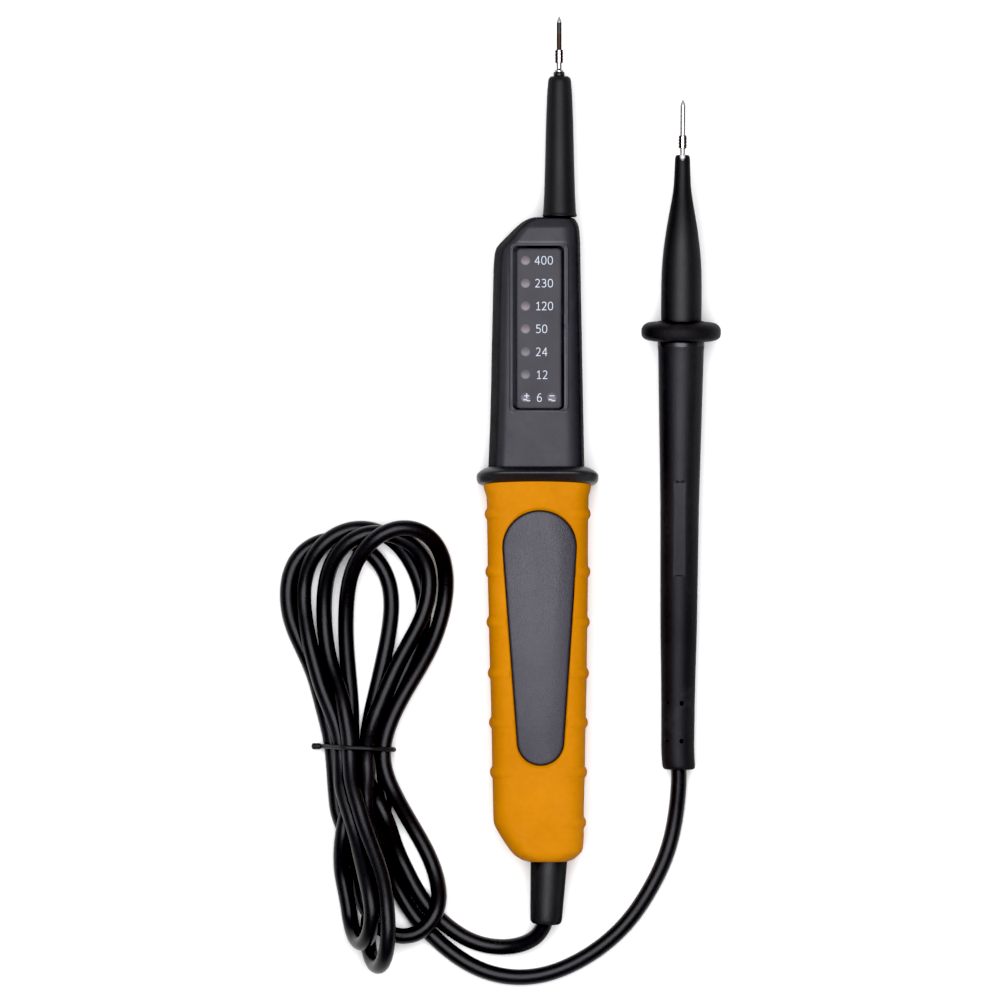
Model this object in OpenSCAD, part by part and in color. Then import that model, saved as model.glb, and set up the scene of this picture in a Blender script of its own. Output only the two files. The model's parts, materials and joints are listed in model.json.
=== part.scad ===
// Two-pole voltage tester: display unit, second hand probe and the cord between them.
// Everything lies on its back on the plane Z = 0. +Y points to the tips, +X to the second probe, +Z up.
// Units are millimetres.

/* [Display unit] */
// X of the display unit's centre line
tester_x = -17.75; // [-20:0.25:-15]
// Thickness of the display head
head_t = 21.2; // [20.4:0.2:22]
// Height of the display head's back above the table
head_z0 = 0.9; // [0.6:0.1:1.2]
// Wall thickness of the two shells
wall = 2; // [1.8:0.1:2.2]
// Height of the parting plane between the shells
parting_z = 11.5; // [11:0.1:12]
// Width of the finger guard
guard_w = 35.2; // [34:0.2:37]
// Thickness of the finger guard along the body
guard_t = 5; // [4.6:0.2:5.4]
// Height of the finger guard's front rim above the table
guard_h = 26.5; // [25:0.5:28]
// Thickness of the rubber grip, front to back
grip_t = 23.5; // [23:0.1:24]
// Corner radius of the rubber grip
grip_r = 5; // [4:0.5:6]
// How far each grip rib stands out
rib_out = 0.6; // [0.3:0.1:0.9]
// Length of one grip rib along the body
rib_len = 3.2; // [2:0.2:4]

/* [Display] */
// Distance between two rows of lights
row_pitch = 6.6; // [6.2:0.1:6.6]
// Y of the top row of lights
row_top = 60.8; // [60:0.1:61]
// Number of rows of lights
rows = 7; // [5:1:7]
// Diameter of one light
led_d = 3; // [2.6:0.1:3]
// Width of the display window
lens_w = 13; // [12:0.2:13.2]
// Height of the display window
lens_h = 46.4; // [45:0.2:46.6]

/* [Nose and tips] */
// Offset of the nose from the display unit's centre line
nose_off = 6.2; // [5.5:0.1:6.5]
// Diameter of the nose at its root
nose_d0 = 9.5; // [9:0.1:9.8]
// Diameter of the nose at its front end
nose_d1 = 6.7; // [6:0.1:7.2]
// Diameter of the steel tips
tip_d = 1.5; // [1.4:0.1:1.6]
// Diameter of the threaded sleeves on the tips
thread_d = 2.4; // [2.2:0.1:2.6]

/* [Second probe] */
// X of the rear end of the second probe
probe_x = 22.8; // [22:0.1:24]
// Angle of the second probe away from the display unit
probe_yaw = 0.45; // [0:0.05:1]
// Angle at which the second probe lies on its guard disc
probe_pitch = 3.05; // [3.05:0.05:3.3]
// Diameter of the round guard disc
disc_d = 23.1; // [22:0.1:23.1]
// Thickness of the round guard disc
disc_t = 5.2; // [4.8:0.1:5.4]

/* [Cord] */
// Diameter of the cord
cord_d = 4.6; // [4.2:0.1:4.6]
// Height of the wound hank above the table
hank_h = 18; // [16:0.5:20]
// Height of the lower turns of the hank, which stand on edge
turn_h = 25.4; // [24:0.2:26.4]

/* [Hidden] */
$fn = 48;

head_y0 = 1.1;                     // shoulder of the head on the guard
head_y1 = 73.3;                    // top of the head
head_zc = head_z0 + head_t / 2;    // middle of the head
core_z0 = 2.2;                     // back of the handle core
core_t = 19.1;                     // thickness of the handle core
core_zc = core_z0 + core_t / 2;
guard_y0 = head_y0 - guard_t;      // lower face of the guard
lens_x = 0.35;                     // middle of the window, off the centre line
lens_y = 41.05;
lens_top = head_z0 + head_t - 0.8; // outer face of the window
board_z = 11;                      // underside of the circuit board
board_t = 1.6;
holder_z1 = lens_top - 2.1;        // top of the light holder, on which the window rests
led_x = -3.55;                     // column of lights
screw_at = [[-4.5, 66.6], [0, 10.5], [0, -62]];
nose_z = 11.5;
tip_y = 131.75;                    // apex of the display unit's tip
boot_x = 3.2;                      // strain relief, off the centre line
boot_y = -113.4;
boot_z = 11.75;
boot_len = 18.1;
boot_yaw = -2.7;
boot_pitch = 7;
clamp_y = -97;                     // clamp on the cord inside the handle
pivot_y = -86.7;                   // rear end of the second probe
pivot_z = 4.8;
cr = cord_d / 2;
// direction, start and end of the leaning part of the strain relief
boot_axis = [cos(boot_pitch) * sin(boot_yaw), -cos(boot_pitch) * cos(boot_yaw), -sin(boot_pitch)];
boot_start = [tester_x + boot_x, boot_y + 2.6, boot_z];
boot_end = boot_start + (boot_len + 2.6) * boot_axis;

// Outline of the head, moved in by i
function head_pts(i) = [[-14.3 + i, head_y0 + i], [-12.8 + i, 61.5], [-11.7 + i * 0.9, 64.5 - i * 0.3],
    [-3.9 + i * 0.4, 72.4 - i], [-2.4, head_y1 - i], [11 - i * 0.8, head_y1 - i], [12.1 - i * 0.9, 71.9 - i * 0.9],
    [12.4 - i, 69], [13.5 - i, head_y0 + i]];
// Outline of the handle core, moved in by i
function core_pts(i) = [[-12.4 + i, head_y0 + 4], [-12.4 + i, -8.2], [-10.7 + i, -101], [-10.2 + i, -102.4 + i * 0.5],
    [-6.6 + i, -108 + i], [-5 + i * 0.9, -109.9 + i], [-2.6 + i * 0.5, -110.8 + i], [8 - i * 0.4, -110.8 + i],
    [9.8 - i * 0.8, -110 + i], [10.9 - i, -108.4 + i * 0.8], [11.2 - i, -106.5 + i * 0.5], [11.2 - i, -100],
    [12.5 - i, -8.2], [12.5 - i, head_y0 + 4]];
// Outline of the rubber grip
sleeve_pts = [[-15.4, guard_y0], [-15.4, -5], [-14.75, -8.2], [-13, -101], [-12.4, -103], [-8.3, -109.6],
    [-6.4, -111.8], [-3.2, -113.1], [-1, -113.4], [8.2, -113.4], [10.6, -112.6], [12.6, -110.6], [13.5, -107.8],
    [13.5, -100], [14.85, -8.2], [15.5, -5], [15.5, guard_y0]];

module rrect(w, h, r) {
    square([w - 2 * r, h], center = true);
    square([w, h - 2 * r], center = true);
    for (x = [-1, 1], y = [-1, 1]) translate([x * (w / 2 - r), y * (h / 2 - r)]) circle(r);
}
// A shape drawn in X and Z, drawn out along Y from y0 to y1
module bar_y(y0, y1) { translate([0, y1, 0]) rotate([90, 0, 0]) linear_extrude(y1 - y0) children(); }
// A body of revolution whose axis runs along +Y from y0
module rev_y(y0) { translate([0, y0, 0]) rotate([-90, 0, 0]) rotate_extrude() children(); }
// A round bar along +Y
module rod_y(y0, y1, r) { translate([0, y0, 0]) rotate([-90, 0, 0]) cylinder(r = r, h = y1 - y0); }

module in_tester() { translate([tester_x, 0, 0]) children(); }

module head_block(i) {
    intersection() {
        translate([0, 0, head_z0 + i]) linear_extrude(head_t - 2 * i) polygon(head_pts(i));
        bar_y(head_y0 - 5, head_y1 + 1) translate([-0.4, head_zc]) rrect(27.8 - 2 * i, head_t - 2 * i, 3.6 - i * 0.8);
    }
}
module core_block(i) {
    intersection() {
        translate([0, 0, core_z0 + i]) linear_extrude(core_t - 2 * i) polygon(core_pts(i));
        bar_y(-112, head_y0 + 5) translate([0.05, core_zc]) rrect(24.9 - 2 * i, core_t - 2 * i, 3 - i * 0.7);
    }
}
module shells() {
    difference() {
        union() { head_block(0); core_block(0); }
        difference() {
            union() {
                head_block(wall);
                core_block(wall);
            }
            // the boss that carries each case screw stays
            for (p = screw_at) translate([p[0], p[1], 0]) cylinder(r = 2.4, h = 30);
        }
        // seat of the nose sleeve
        translate([nose_off, 0, nose_z]) rod_y(head_y1 - 2.1, head_y1 + 1, 3.6);
        translate([nose_off, 0, nose_z]) rod_y(68, head_y1 - 2.1, 4.8);
        // outlet of the strain relief
        translate([boot_x, 0, boot_z]) rod_y(-112, -108, 4.1);
        translate([boot_x, 0, boot_z]) rod_y(-108.8, -106.8, 5.35);
    }
}

module front_shell() {
    color([0.13, 0.13, 0.14]) in_tester() difference() {
        intersection() {
            shells();
            translate([-30, -130, parting_z]) cube([60, 260, 30]);
        }
        // shallow frame around the window
        translate([0.5, lens_y + 0.1, lens_top + 0.2]) linear_extrude(5) rrect(15.7, 48.5, 1.3);
        // opening for the window
        translate([lens_x, lens_y, parting_z]) linear_extrude(20) rrect(lens_w, lens_h, 1.2);
        // pilot holes of the case screws
        for (p = screw_at) translate([p[0], p[1], parting_z - 1]) cylinder(r = 1.15, h = 7.5);
        // room for the circuit board between the bosses
        translate([0, 0, board_z]) board_outline_solid(0.05);
    }
}

module back_shell() {
    color([0.12, 0.12, 0.13]) in_tester() difference() {
        union() {
            intersection() {
                shells();
                translate([-30, -130, -10]) cube([60, 260, parting_z + 10]);
            }
            // two posts and a saddle under the cord
            for (s = [-1, 1]) translate([boot_x + s * 4.4, clamp_y, core_z0 + 1]) cylinder(r = 1.9, h = boot_z + 0.8 - core_z0 - 1);
            translate([boot_x - 4.4, clamp_y - 2, core_z0 + 1]) cube([8.8, 4, boot_z - 1.5 - core_z0 - 1]);
        }
        translate([boot_x, 0, boot_z]) rod_y(clamp_y - 4, clamp_y + 4, cr + 0.05);
        for (s = [-1, 1]) translate([boot_x + s * 4.4, clamp_y, core_z0 + 3]) cylinder(r = 1.05, h = 20);
        for (p = screw_at) {
            translate([p[0], p[1], -1]) cylinder(r = 1.4, h = 20);
            translate([p[0], p[1], -1]) cylinder(r = 2.35, h = 5.2);
        }
    }
}

module finger_guard() {
    color([0.1, 0.1, 0.11]) in_tester() difference() {
        intersection() {
            bar_y(guard_y0, head_y0) translate([0, guard_h / 2 - 4]) rrect(guard_w, guard_h + 8, 7.5);
            translate([-30, guard_y0 - 1, 0]) cube([60, guard_t + 2, 40]);
        }
        core_block(0);
    }
}

function grip_half(y) = 14.8 - (-8.2 - y) * 1.5 / 93;
// Outline of the panel: a large arc above, a small arc below and their two tangents
module panel_shape() {
    r1 = 10.7; r2 = 6.7; y1 = -22.4; y2 = -78.6; x1 = 0.6; x2 = 0.8;
    a = asin((r1 - r2) / (y1 - y2));
    polygon(concat([for (k = [0 : 32]) let (t = -a + k * (180 + 2 * a) / 32) [x1 + r1 * cos(t), y1 + r1 * sin(t)]],
                   [for (k = [0 : 24]) let (t = 180 + a + k * (180 - 2 * a) / 24) [x2 + r2 * cos(t), y2 + r2 * sin(t)]]));
}
module grip_sleeve() {
    color([0.9, 0.58, 0.02]) in_tester() difference() {
        union() {
            intersection() {
                linear_extrude(grip_t) polygon(sleeve_pts);
                bar_y(-114, guard_y0) translate([0.05, grip_t / 2]) rrect(30.9, grip_t, grip_r + 0.8);
            }
            for (y = [-12.6, -29.4, -44, -58.8, -73.1, -87.4]) intersection() {
                translate([0.2, 0, 0]) bar_y(y - rib_len / 2, y + rib_len / 2)
                    translate([0, grip_t / 2]) rrect(2 * (grip_half(y) + rib_out), grip_t, grip_r);
                bar_y(y - rib_len, y + rib_len) translate([0, grip_t / 2]) square([40, grip_t], center = true);
            }
        }
        core_block(0);
        translate([0, 0, core_zc]) linear_extrude(30) panel_shape();
        translate([boot_x, 0, boot_z]) rod_y(-115, -108, 5.6);
    }
}
module label_panel() {
    color([0.32, 0.32, 0.35]) in_tester()
        translate([0, 0, core_z0 + core_t]) linear_extrude(1.4) panel_shape();
}

module display_lens() {
    color([0.3, 0.3, 0.34, 0.85]) in_tester()
        translate([lens_x, lens_y, holder_z1]) linear_extrude(lens_top - holder_z1) rrect(lens_w, lens_h, 1.2);
}
function led_at() = concat([for (k = [0 : rows - 1]) [led_x, row_top - k * row_pitch]],
                           [[4.05, row_top - (rows - 1) * row_pitch]]);
module led_holder() {
    color([0.16, 0.16, 0.17]) in_tester() difference() {
        translate([lens_x, lens_y, board_z + board_t])
            linear_extrude(holder_z1 - board_z - board_t) rrect(lens_w - 0.4, lens_h - 0.6, 1);
        for (p = led_at()) translate([p[0], p[1], 5]) cylinder(r = led_d / 2 + 0.15, h = 30);
    }
}
module leds() {
    color([0.85, 0.75, 0.8]) in_tester() for (p = led_at()) translate([p[0], p[1], board_z + board_t]) {
        for (s = [-1, 1]) translate([0, s * 0.8, 0]) cylinder(r = 0.3, h = 0.6);
        translate([0, 0, 0.5]) rotate_extrude() polygon(concat([[0, 0], [led_d / 2, 0], [led_d / 2, 3.6]],
            [for (t = [10 : 10 : 90]) [led_d / 2 * cos(t), 3.6 + led_d / 2 * sin(t)]]));
    }
}
module board_outline_solid(g) {
    translate([0, 0, -g]) linear_extrude(board_t + 2 * g) difference() {
        union() {
            translate([-9.6 - g, 14 - g]) square([19 + 2 * g, 49.6 + 2 * g]);
            translate([-8.4 - g, -48 - g]) square([16.8 + 2 * g, 63 + 2 * g]);
        }
        translate([0, 10.5]) circle(2.6 - g);
    }
}
module circuit_board() {
    color([0.1, 0.4, 0.2]) in_tester() translate([0, 0, board_z]) board_outline_solid(0);
}
module driver_chip() {
    color([0.08, 0.08, 0.08]) in_tester() translate([-3, -12, board_z - 2]) {
        cube([6, 9.6, 1.7]);
        for (k = [0 : 6]) translate([-0.9, 0.7 + k * 1.27, 0.5]) cube([7.8, 0.5, 1.5]);
    }
}
module rectifier_diodes() {
    color([0.2, 0.2, 0.2]) in_tester()
        for (k = [0 : 3]) translate([-5.2 + 7.4 * (k % 2), -24 + 4.4 * floor(k / 2), board_z - 2.2]) cube([3, 2.6, 2.2]);
}
module series_resistors() {
    color([0.6, 0.45, 0.3]) in_tester()
        for (k = [0 : 3]) translate([-5.4 + 3.6 * k, -33, board_z + board_t + 1.3]) {
            rod_y(-5, 2, 1.3);
            rod_y(-8, 5, 0.3);
            for (s = [-8, 4.6]) translate([0, s + 0.2, -1.3]) cylinder(r = 0.3, h = 1.3);
        }
}
module ptc_thermistors() {
    color([0.75, 0.55, 0.15]) in_tester()
        for (s = [-1, 1]) translate([s * 4.2, -7, board_z + board_t + 0.4]) {
            translate([0, 0, 3]) rotate([-90, 0, 0]) translate([0, 0, -2]) cylinder(r = 3, h = 4);
            for (t = [-1, 1]) translate([t * 1.6, 0, -0.4]) cylinder(r = 0.35, h = 1.4);
        }
}
module case_screws() {
    color([0.7, 0.7, 0.72]) in_tester() for (p = screw_at) translate([p[0], p[1], 4.2]) difference() {
        union() {
            translate([0, 0, -1.5]) cylinder(r = 2.2, h = 1.5);
            cylinder(r = 1.1, h = 12.5);
        }
        for (q = [0, 90]) rotate([0, 0, q]) translate([-1.3, -0.25, -2]) cube([2.6, 0.5, 1.1]);
    }
}

module nose_sleeve() {
    color([0.09, 0.09, 0.1]) in_tester() translate([nose_off, 0, nose_z]) difference() {
        rev_y(0) polygon([[0, 68.7], [4.7, 68.7], [4.7, 71.2], [3.5, 71.2], [3.5, head_y1],
            [nose_d0 / 2 + 0.2, head_y1], [nose_d0 / 2 + 0.2, 74.2], [nose_d0 / 2, 74.7],
            [nose_d1 / 2, 113.1], [nose_d1 / 2 - 0.2, 113.7], [nose_d1 / 2 - 0.7, 114.1], [2.2, 114.3], [0, 114.3]]);
        rod_y(60, 120, 1.3);
    }
}
module tip_collar() {
    color([0.08, 0.08, 0.08]) in_tester() translate([nose_off, 0, nose_z]) difference() {
        rev_y(0) polygon([[0, 114.3], [1.6, 114.3], [1.6, 115.1], [1.3, 115.5], [0, 115.5]]);
        rod_y(110, 120, tip_d / 2 - 0.2);
    }
}
module tip_washer() {
    color([0.85, 0.85, 0.85]) in_tester() translate([nose_off, 0, nose_z]) difference() {
        rod_y(115.5, 116, 1.15);
        rod_y(110, 120, tip_d / 2 - 0.2);
    }
}
module thread_sleeve(y0, y1) {
    difference() {
        rev_y(0) polygon(concat([[0, y0]],
            [for (k = [0 : 7]) each let (s = (y1 - y0) / 8) [[thread_d / 2 - 0.18, y0 + k * s],
                [thread_d / 2, y0 + (k + 0.5) * s]]], [[thread_d / 2 - 0.18, y1], [0, y1]]));
        rod_y(y0 - 5, y1 + 5, tip_d / 2 - 0.2);
    }
}
module tip_thread() {
    color([0.6, 0.5, 0.35]) in_tester() translate([nose_off, 0, nose_z]) thread_sleeve(118, 121.8);
}
// A thin shank from y0, then the contact pin from y1 to its point at y2
module pin(y0, y1, y2) {
    rev_y(0) polygon([[0, y0], [tip_d / 2 - 0.25, y0], [tip_d / 2 - 0.25, y1], [tip_d / 2, y1], [tip_d / 2, y2 - 1.9], [tip_d / 2 - 0.1, y2 - 1.6], [0.12, y2 - 0.1], [0, y2]]);
}
module probe_tip() {
    color([0.75, 0.75, 0.76]) in_tester() translate([nose_off, 0, nose_z]) pin(106, 122, tip_y);
}
module tip_rod() {
    color([0.8, 0.65, 0.3]) in_tester() translate([nose_off, 0, nose_z]) rod_y(66.4, 106, 1.2);
}
module tip_wire() {
    color([0.75, 0.2, 0.15]) in_tester() translate([nose_off, 0, board_z - 0.5]) rod_y(56, 66.4, 0.5);
}

// The strain relief leans a little to the left and sags towards the table
module boot_dir() { translate([boot_x, boot_y + 2.6, boot_z]) rotate([boot_pitch, 0, boot_yaw]) children(); }
module cable_boot() {
    color([0.1, 0.1, 0.1]) in_tester() difference() {
        union() {
            boot_dir() rotate([90, 0, 0]) translate([0, 0, 0.8]) cylinder(r1 = 5.28, r2 = 4.65, h = boot_len + 1.8);
            translate([boot_x, 0, boot_z]) rod_y(-113, -108.8, 4);
            translate([boot_x, 0, boot_z]) rod_y(-108.8, -107.2, 5.2);
        }
        boot_dir() rotate([90, 0, 0]) translate([0, 0, -1]) cylinder(r = cr + 0.05, h = boot_len + 10);
        translate([boot_x, 0, boot_z]) rod_y(-112, -100, cr + 0.5);
    }
}
stub_route = [[tester_x + boot_x, -90, boot_z], [tester_x + boot_x, -104, boot_z], [tester_x + boot_x, -109, boot_z],
              boot_start + 2.5 * boot_axis, boot_end];
module cord_stub() { color([0.07, 0.07, 0.07]) tube(stub_route, [0, -1, 0], boot_axis, cr); }
module cord_clamp() {
    color([0.15, 0.15, 0.15]) in_tester() difference() {
        translate([boot_x - 6.2, clamp_y - 3, boot_z + 1.1]) cube([12, 6, 3.4]);
        translate([boot_x, 0, boot_z]) rod_y(-120, -80, cr + 0.02);
        for (s = [-1, 1]) translate([boot_x + s * 4.4, clamp_y, 0]) cylinder(r = 1.15, h = 30);
    }
}
module clamp_screws() {
    color([0.7, 0.7, 0.72]) in_tester() for (s = [-1, 1]) translate([boot_x + s * 4.4, clamp_y, 0]) {
        translate([0, 0, 6]) cylinder(r = 1, h = boot_z + 4.5 - 6);
        translate([0, 0, boot_z + 4.5]) cylinder(r = 1.7, h = 1.1);
    }
}
lead_route = [[boot_x, -90, boot_z], [4.6, -82, 12.4], [5.6, -72, 13], [5.6, -60, 13.3], [5.2, -52, 13.4], [4.6, -46, 13.4]];
module lead_wire() { color([0.1, 0.1, 0.4]) in_tester() tube(lead_route, [0, 1, 0], [0, 1, 0], 0.7, 8); }

// Second probe: local +Y runs from its rear end to its tip
module in_probe() {
    translate([probe_x, pivot_y, pivot_z]) rotate([probe_pitch, 0, -probe_yaw]) children();
}
module probe2_handle() {
    color([0.1, 0.1, 0.11]) in_probe() difference() {
        rev_y(0) polygon([[0, 0], [4.2, 0], [4.6, 0.3], [4.73, 0.9], [4.87, 18.7], [5.06, 30.3], [5.31, 42], [5.42, 53.5],
            [5.51, 65], [5.62, 76.7], [5.86, 88.3], [6.15, 100], [6.41, 111.5], [6.63, 123], [6.63, 124.4], [6.4, 125.1], [0, 125.1]]);
        rod_y(-1, 3, 2.8);
        rod_y(-1, 26, cr + 0.05);
        rod_y(26, 118, 3.4);
        rod_y(116, 130, 4.35);
        // small moulding holes near the rear end
        for (a = [10, -39], y = [8.6, 19.5]) rotate([0, a, 0]) translate([0, y, 3]) cylinder(r = 0.6, h = 5);
        // flat on the front
        translate([-3, 56.4, 5.164]) rotate([0.715, 0, 0]) cube([6, 27.5, 3]);
    }
}
module probe2_guard_disc() {
    color([0.1, 0.1, 0.11]) in_probe() difference() {
        rev_y(0) polygon(concat([[0, 125.1], [6.9, 125.1], [6.9, 124.5]],
            [for (t = [-80 : 20 : 80]) [disc_d / 2 - disc_t / 2 * (1 - cos(t)), 127 + disc_t / 2 * sin(t)]],
            [[7, 129.7], [6.2, 129.9], [0, 129.9]]));
        rod_y(120, 135, 4.35);
    }
}
module probe2_nose() {
    color([0.09, 0.09, 0.1]) in_probe() difference() {
        union() {
            rev_y(0) polygon([[0, 129.9], [5.85, 129.9], [5.9, 133], [5.88, 140], [5.8, 144.3], [5.52, 149], [5.02, 153.6],
                [4.32, 158.2], [3.5, 162.8], [2.9, 166.2], [2.5, 169.4], [2.3, 172.2], [2.1, 176.6], [1.9, 177.5],
                [1.4, 178.1], [0, 178.1]]);
            rod_y(118, 130, 4.3);
        }
        rod_y(100, 200, 1.3);
    }
}
module probe2_thread() { color([0.6, 0.5, 0.35]) in_probe() thread_sleeve(180.2, 184); }
module probe2_tip() { color([0.75, 0.75, 0.76]) in_probe() pin(170, 184.2, 194.6); }
module probe2_rod() { color([0.8, 0.65, 0.3]) in_probe() rod_y(60, 170, 1.2); }
module probe2_ferrule() { color([0.8, 0.8, 0.8]) in_probe() rod_y(46, 60, 1.8); }
module probe2_wire() { color([0.8, 0.5, 0.3]) in_probe() rod_y(26, 46, 0.5); }
module probe2_cord_stub() { color([0.07, 0.07, 0.07]) in_probe() rod_y(3, 26, cr); }

// Cord. Points of the two free stretches, in order, from the boot to the hank and from the hank to the second probe
route_a = [boot_end, [-17.2, -134.5, 8], [-21.5, -137, 5.6], [-28, -138.5, 3.4], [-36.5, -137, 2.5], [-43.5, -132.5, 2.4], [-49, -127.5, 2.4]];
route_b = [[-50, -133.5, 2.4], [-46, -137, 2.4], [-39.5, -141.5, 2.4], [-31.5, -145.5, 2.4], [-22.5, -147, 2.4], [-12, -145.5, 2.4],
           [-5, -141.5, 2.4], [2.5, -135, 2.4], [11, -126, 2.4], [16.8, -118.5, 2.5], [20.5, -109, 2.8], [22.3, -99, 3.7],
           [probe_x, pivot_y, pivot_z]];
probe_axis = [sin(probe_yaw) * cos(probe_pitch), cos(probe_yaw) * cos(probe_pitch), sin(probe_pitch)];

function unit(v) = v / norm(v);
// Direction of travel at each point: given at the two ends, the mean of the neighbours elsewhere
function travel(p, d0, d1) = [for (i = [0 : len(p) - 1])
    i == 0 ? unit(d0) : i == len(p) - 1 ? unit(d1) : unit(p[i + 1] - p[i - 1])];
module tube(p, d0, d1, r, n = 10) {
    t = travel(p, d0, d1);
    m = len(p);
    pts = [for (i = [0 : m - 1]) let (u = unit(cross(t[i], [0, 0, 1])), v = cross(u, t[i]))
        for (k = [0 : n - 1]) p[i] + r * (cos(360 * k / n) * u + sin(360 * k / n) * v)];
    sides = [for (i = [0 : m - 2]) for (k = [0 : n - 1]) each
        [[i * n + k, i * n + (k + 1) % n, (i + 1) * n + k], [i * n + (k + 1) % n, (i + 1) * n + (k + 1) % n, (i + 1) * n + k]]];
    polyhedron(points = pts, faces = concat(sides, [[for (k = [n - 1 : -1 : 0]) k]], [[for (k = [0 : n - 1]) (m - 1) * n + k]]));
}
module cord_to_tester() {
    color([0.07, 0.07, 0.07]) tube(route_a, boot_axis, [-0.8, 0.6, 0], cr);
}
module cord_to_probe() {
    color([0.07, 0.07, 0.07]) {
        tube(route_b, [0.8, -0.6, 0], probe_axis, cr);
        translate([probe_x, pivot_y, pivot_z]) sphere(r = cr);
    }
}
// Outline of the wound hank, seen from above
hank_pts = [[-92.5, -35], [-91, -26], [-86.5, -19.5], [-80, -15.5], [-73.5, -14.2], [-65, -14.8], [-56.5, -14], [-49, -17.5],
    [-44, -24.5], [-42, -33.5], [-43, -42], [-47, -51], [-52.5, -59.5], [-57.5, -68], [-60.2, -77.5], [-60.5, -83],
    [-59, -90], [-56, -96], [-50.5, -104.5], [-46, -113], [-44, -123], [-44.8, -129], [-48, -136], [-53, -137.5],
    [-58.5, -137], [-59.2, -142], [-62, -145.3], [-65, -145.3], [-68.5, -142], [-72, -135], [-75, -126], [-76.5, -116],
    [-76.5, -104], [-78.5, -95.5], [-79.3, -84], [-80, -78], [-83, -68], [-86.5, -59.5], [-90, -49], [-92, -42]];
// Outline of the lower turns that stand on edge
turn_pts = [[-72, -108], [-60.5, -108], [-58.4, -120], [-58, -134], [-59.8, -141.6], [-62.3, -144.8], [-64.7, -144.8],
    [-68, -141.7], [-71.5, -134], [-72.8, -120]];
tie_y = -80.6;
tie_w = 1.6;
module tie_ring(g) {
    translate([-69.8, 0, 0]) bar_y(tie_y - tie_w / 2, tie_y + tie_w / 2) difference() {
        translate([0, 9]) square([21.4, 18], center = true);
        translate([0, 9]) square([17.4, 14], center = true);
    }
}
module cord_hank() {
    color([0.07, 0.07, 0.07]) difference() {
        union() {
            linear_extrude(hank_h) polygon(hank_pts);
            linear_extrude(turn_h) polygon(turn_pts);
        }
        tie_ring(0);
    }
}
module cord_tie() { color([0.15, 0.15, 0.15]) tie_ring(0); }

front_shell();
back_shell();
finger_guard();
grip_sleeve();
label_panel();
display_lens();
led_holder();
leds();
circuit_board();
driver_chip();
rectifier_diodes();
series_resistors();
ptc_thermistors();
case_screws();
nose_sleeve();
tip_collar();
tip_washer();
tip_thread();
probe_tip();
tip_rod();
tip_wire();
cable_boot();
cord_clamp();
clamp_screws();
cord_stub();
lead_wire();
probe2_handle();
probe2_guard_disc();
probe2_nose();
probe2_thread();
probe2_tip();
probe2_rod();
probe2_ferrule();
probe2_wire();
probe2_cord_stub();
cord_to_tester();
cord_hank();
cord_to_probe();
cord_tie();
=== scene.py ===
import json
import math

import bpy
import bmesh
import numpy as np
from mathutils import Matrix, Vector


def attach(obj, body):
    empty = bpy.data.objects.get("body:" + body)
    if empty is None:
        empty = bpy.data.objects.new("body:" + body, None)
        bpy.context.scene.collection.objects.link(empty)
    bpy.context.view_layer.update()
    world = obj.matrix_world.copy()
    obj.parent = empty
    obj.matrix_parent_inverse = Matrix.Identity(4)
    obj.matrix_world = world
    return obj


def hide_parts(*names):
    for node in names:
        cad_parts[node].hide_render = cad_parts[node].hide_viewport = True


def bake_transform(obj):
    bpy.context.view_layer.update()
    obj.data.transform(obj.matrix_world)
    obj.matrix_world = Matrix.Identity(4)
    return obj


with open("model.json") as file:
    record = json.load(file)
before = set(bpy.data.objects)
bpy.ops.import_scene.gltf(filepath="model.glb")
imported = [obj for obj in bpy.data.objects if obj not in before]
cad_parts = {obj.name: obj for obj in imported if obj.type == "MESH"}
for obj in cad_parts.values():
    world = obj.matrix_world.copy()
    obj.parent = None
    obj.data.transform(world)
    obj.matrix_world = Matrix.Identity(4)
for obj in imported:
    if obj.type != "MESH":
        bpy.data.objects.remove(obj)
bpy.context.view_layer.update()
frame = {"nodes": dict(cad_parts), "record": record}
scene = bpy.context.scene
rng = np.random.default_rng(7)

MM = 0.001
PX = 0.29            # millimetres per pixel of the photo


def mm(x, y, z=0.0):
    """A point of the photo (pixels, and height in millimetres) in the frame, in millimetres."""
    return ((x - 598.5) * PX, (470.4 - y) * PX, z)


# ---------------------------------------------------------------- camera
centre = np.array(mm(500, 500)) * MM
cam_data = bpy.data.cameras.new("camera")
cam_data.lens = 900.0
cam_data.sensor_width = 36.0
cam = bpy.data.objects.new("camera", cam_data)
scene.collection.objects.link(cam)
reach = 0.145 * cam_data.lens / 18.0
cam.location = (centre[0] - 0.00012, centre[1], reach + 0.006)
cam.rotation_euler = (0.0, 0.0, 0.0)
cam_data.clip_start = 0.05
cam_data.clip_end = 60.0
scene.camera = cam

# ---------------------------------------------------------------- cord
CORD_D = 4.6
CORD_R = CORD_D / 2
# Points the cord runs through: photo pixels, and height of its centre line in millimetres.
# From the display unit's strain relief to the hank
leave = [(546.0, 912, 10.5), (545.0, 918, 9.9), (543.2, 925.5, 9.0), (538.5, 933.5, 7.7), (530.5, 940, 6.4),
         (519, 944.8, 5.0), (503, 947.2, 3.7), (488, 946, 2.8), (473, 942, 2.4), (461, 936, 2.3), (450, 928, 2.3),
         (440, 919.5, 2.3), (430, 910, 2.3), (420, 897, 2.3), (411, 882, 2.3), (403, 868, 2.4), (396.5, 853, 3.0),
         (391.5, 838, 4.4), (386.5, 823, 6.2), (380.5, 808, 6.9), (373.5, 793, 5.7), (365.5, 778, 3.8), (357.5, 763, 2.5)]
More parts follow.
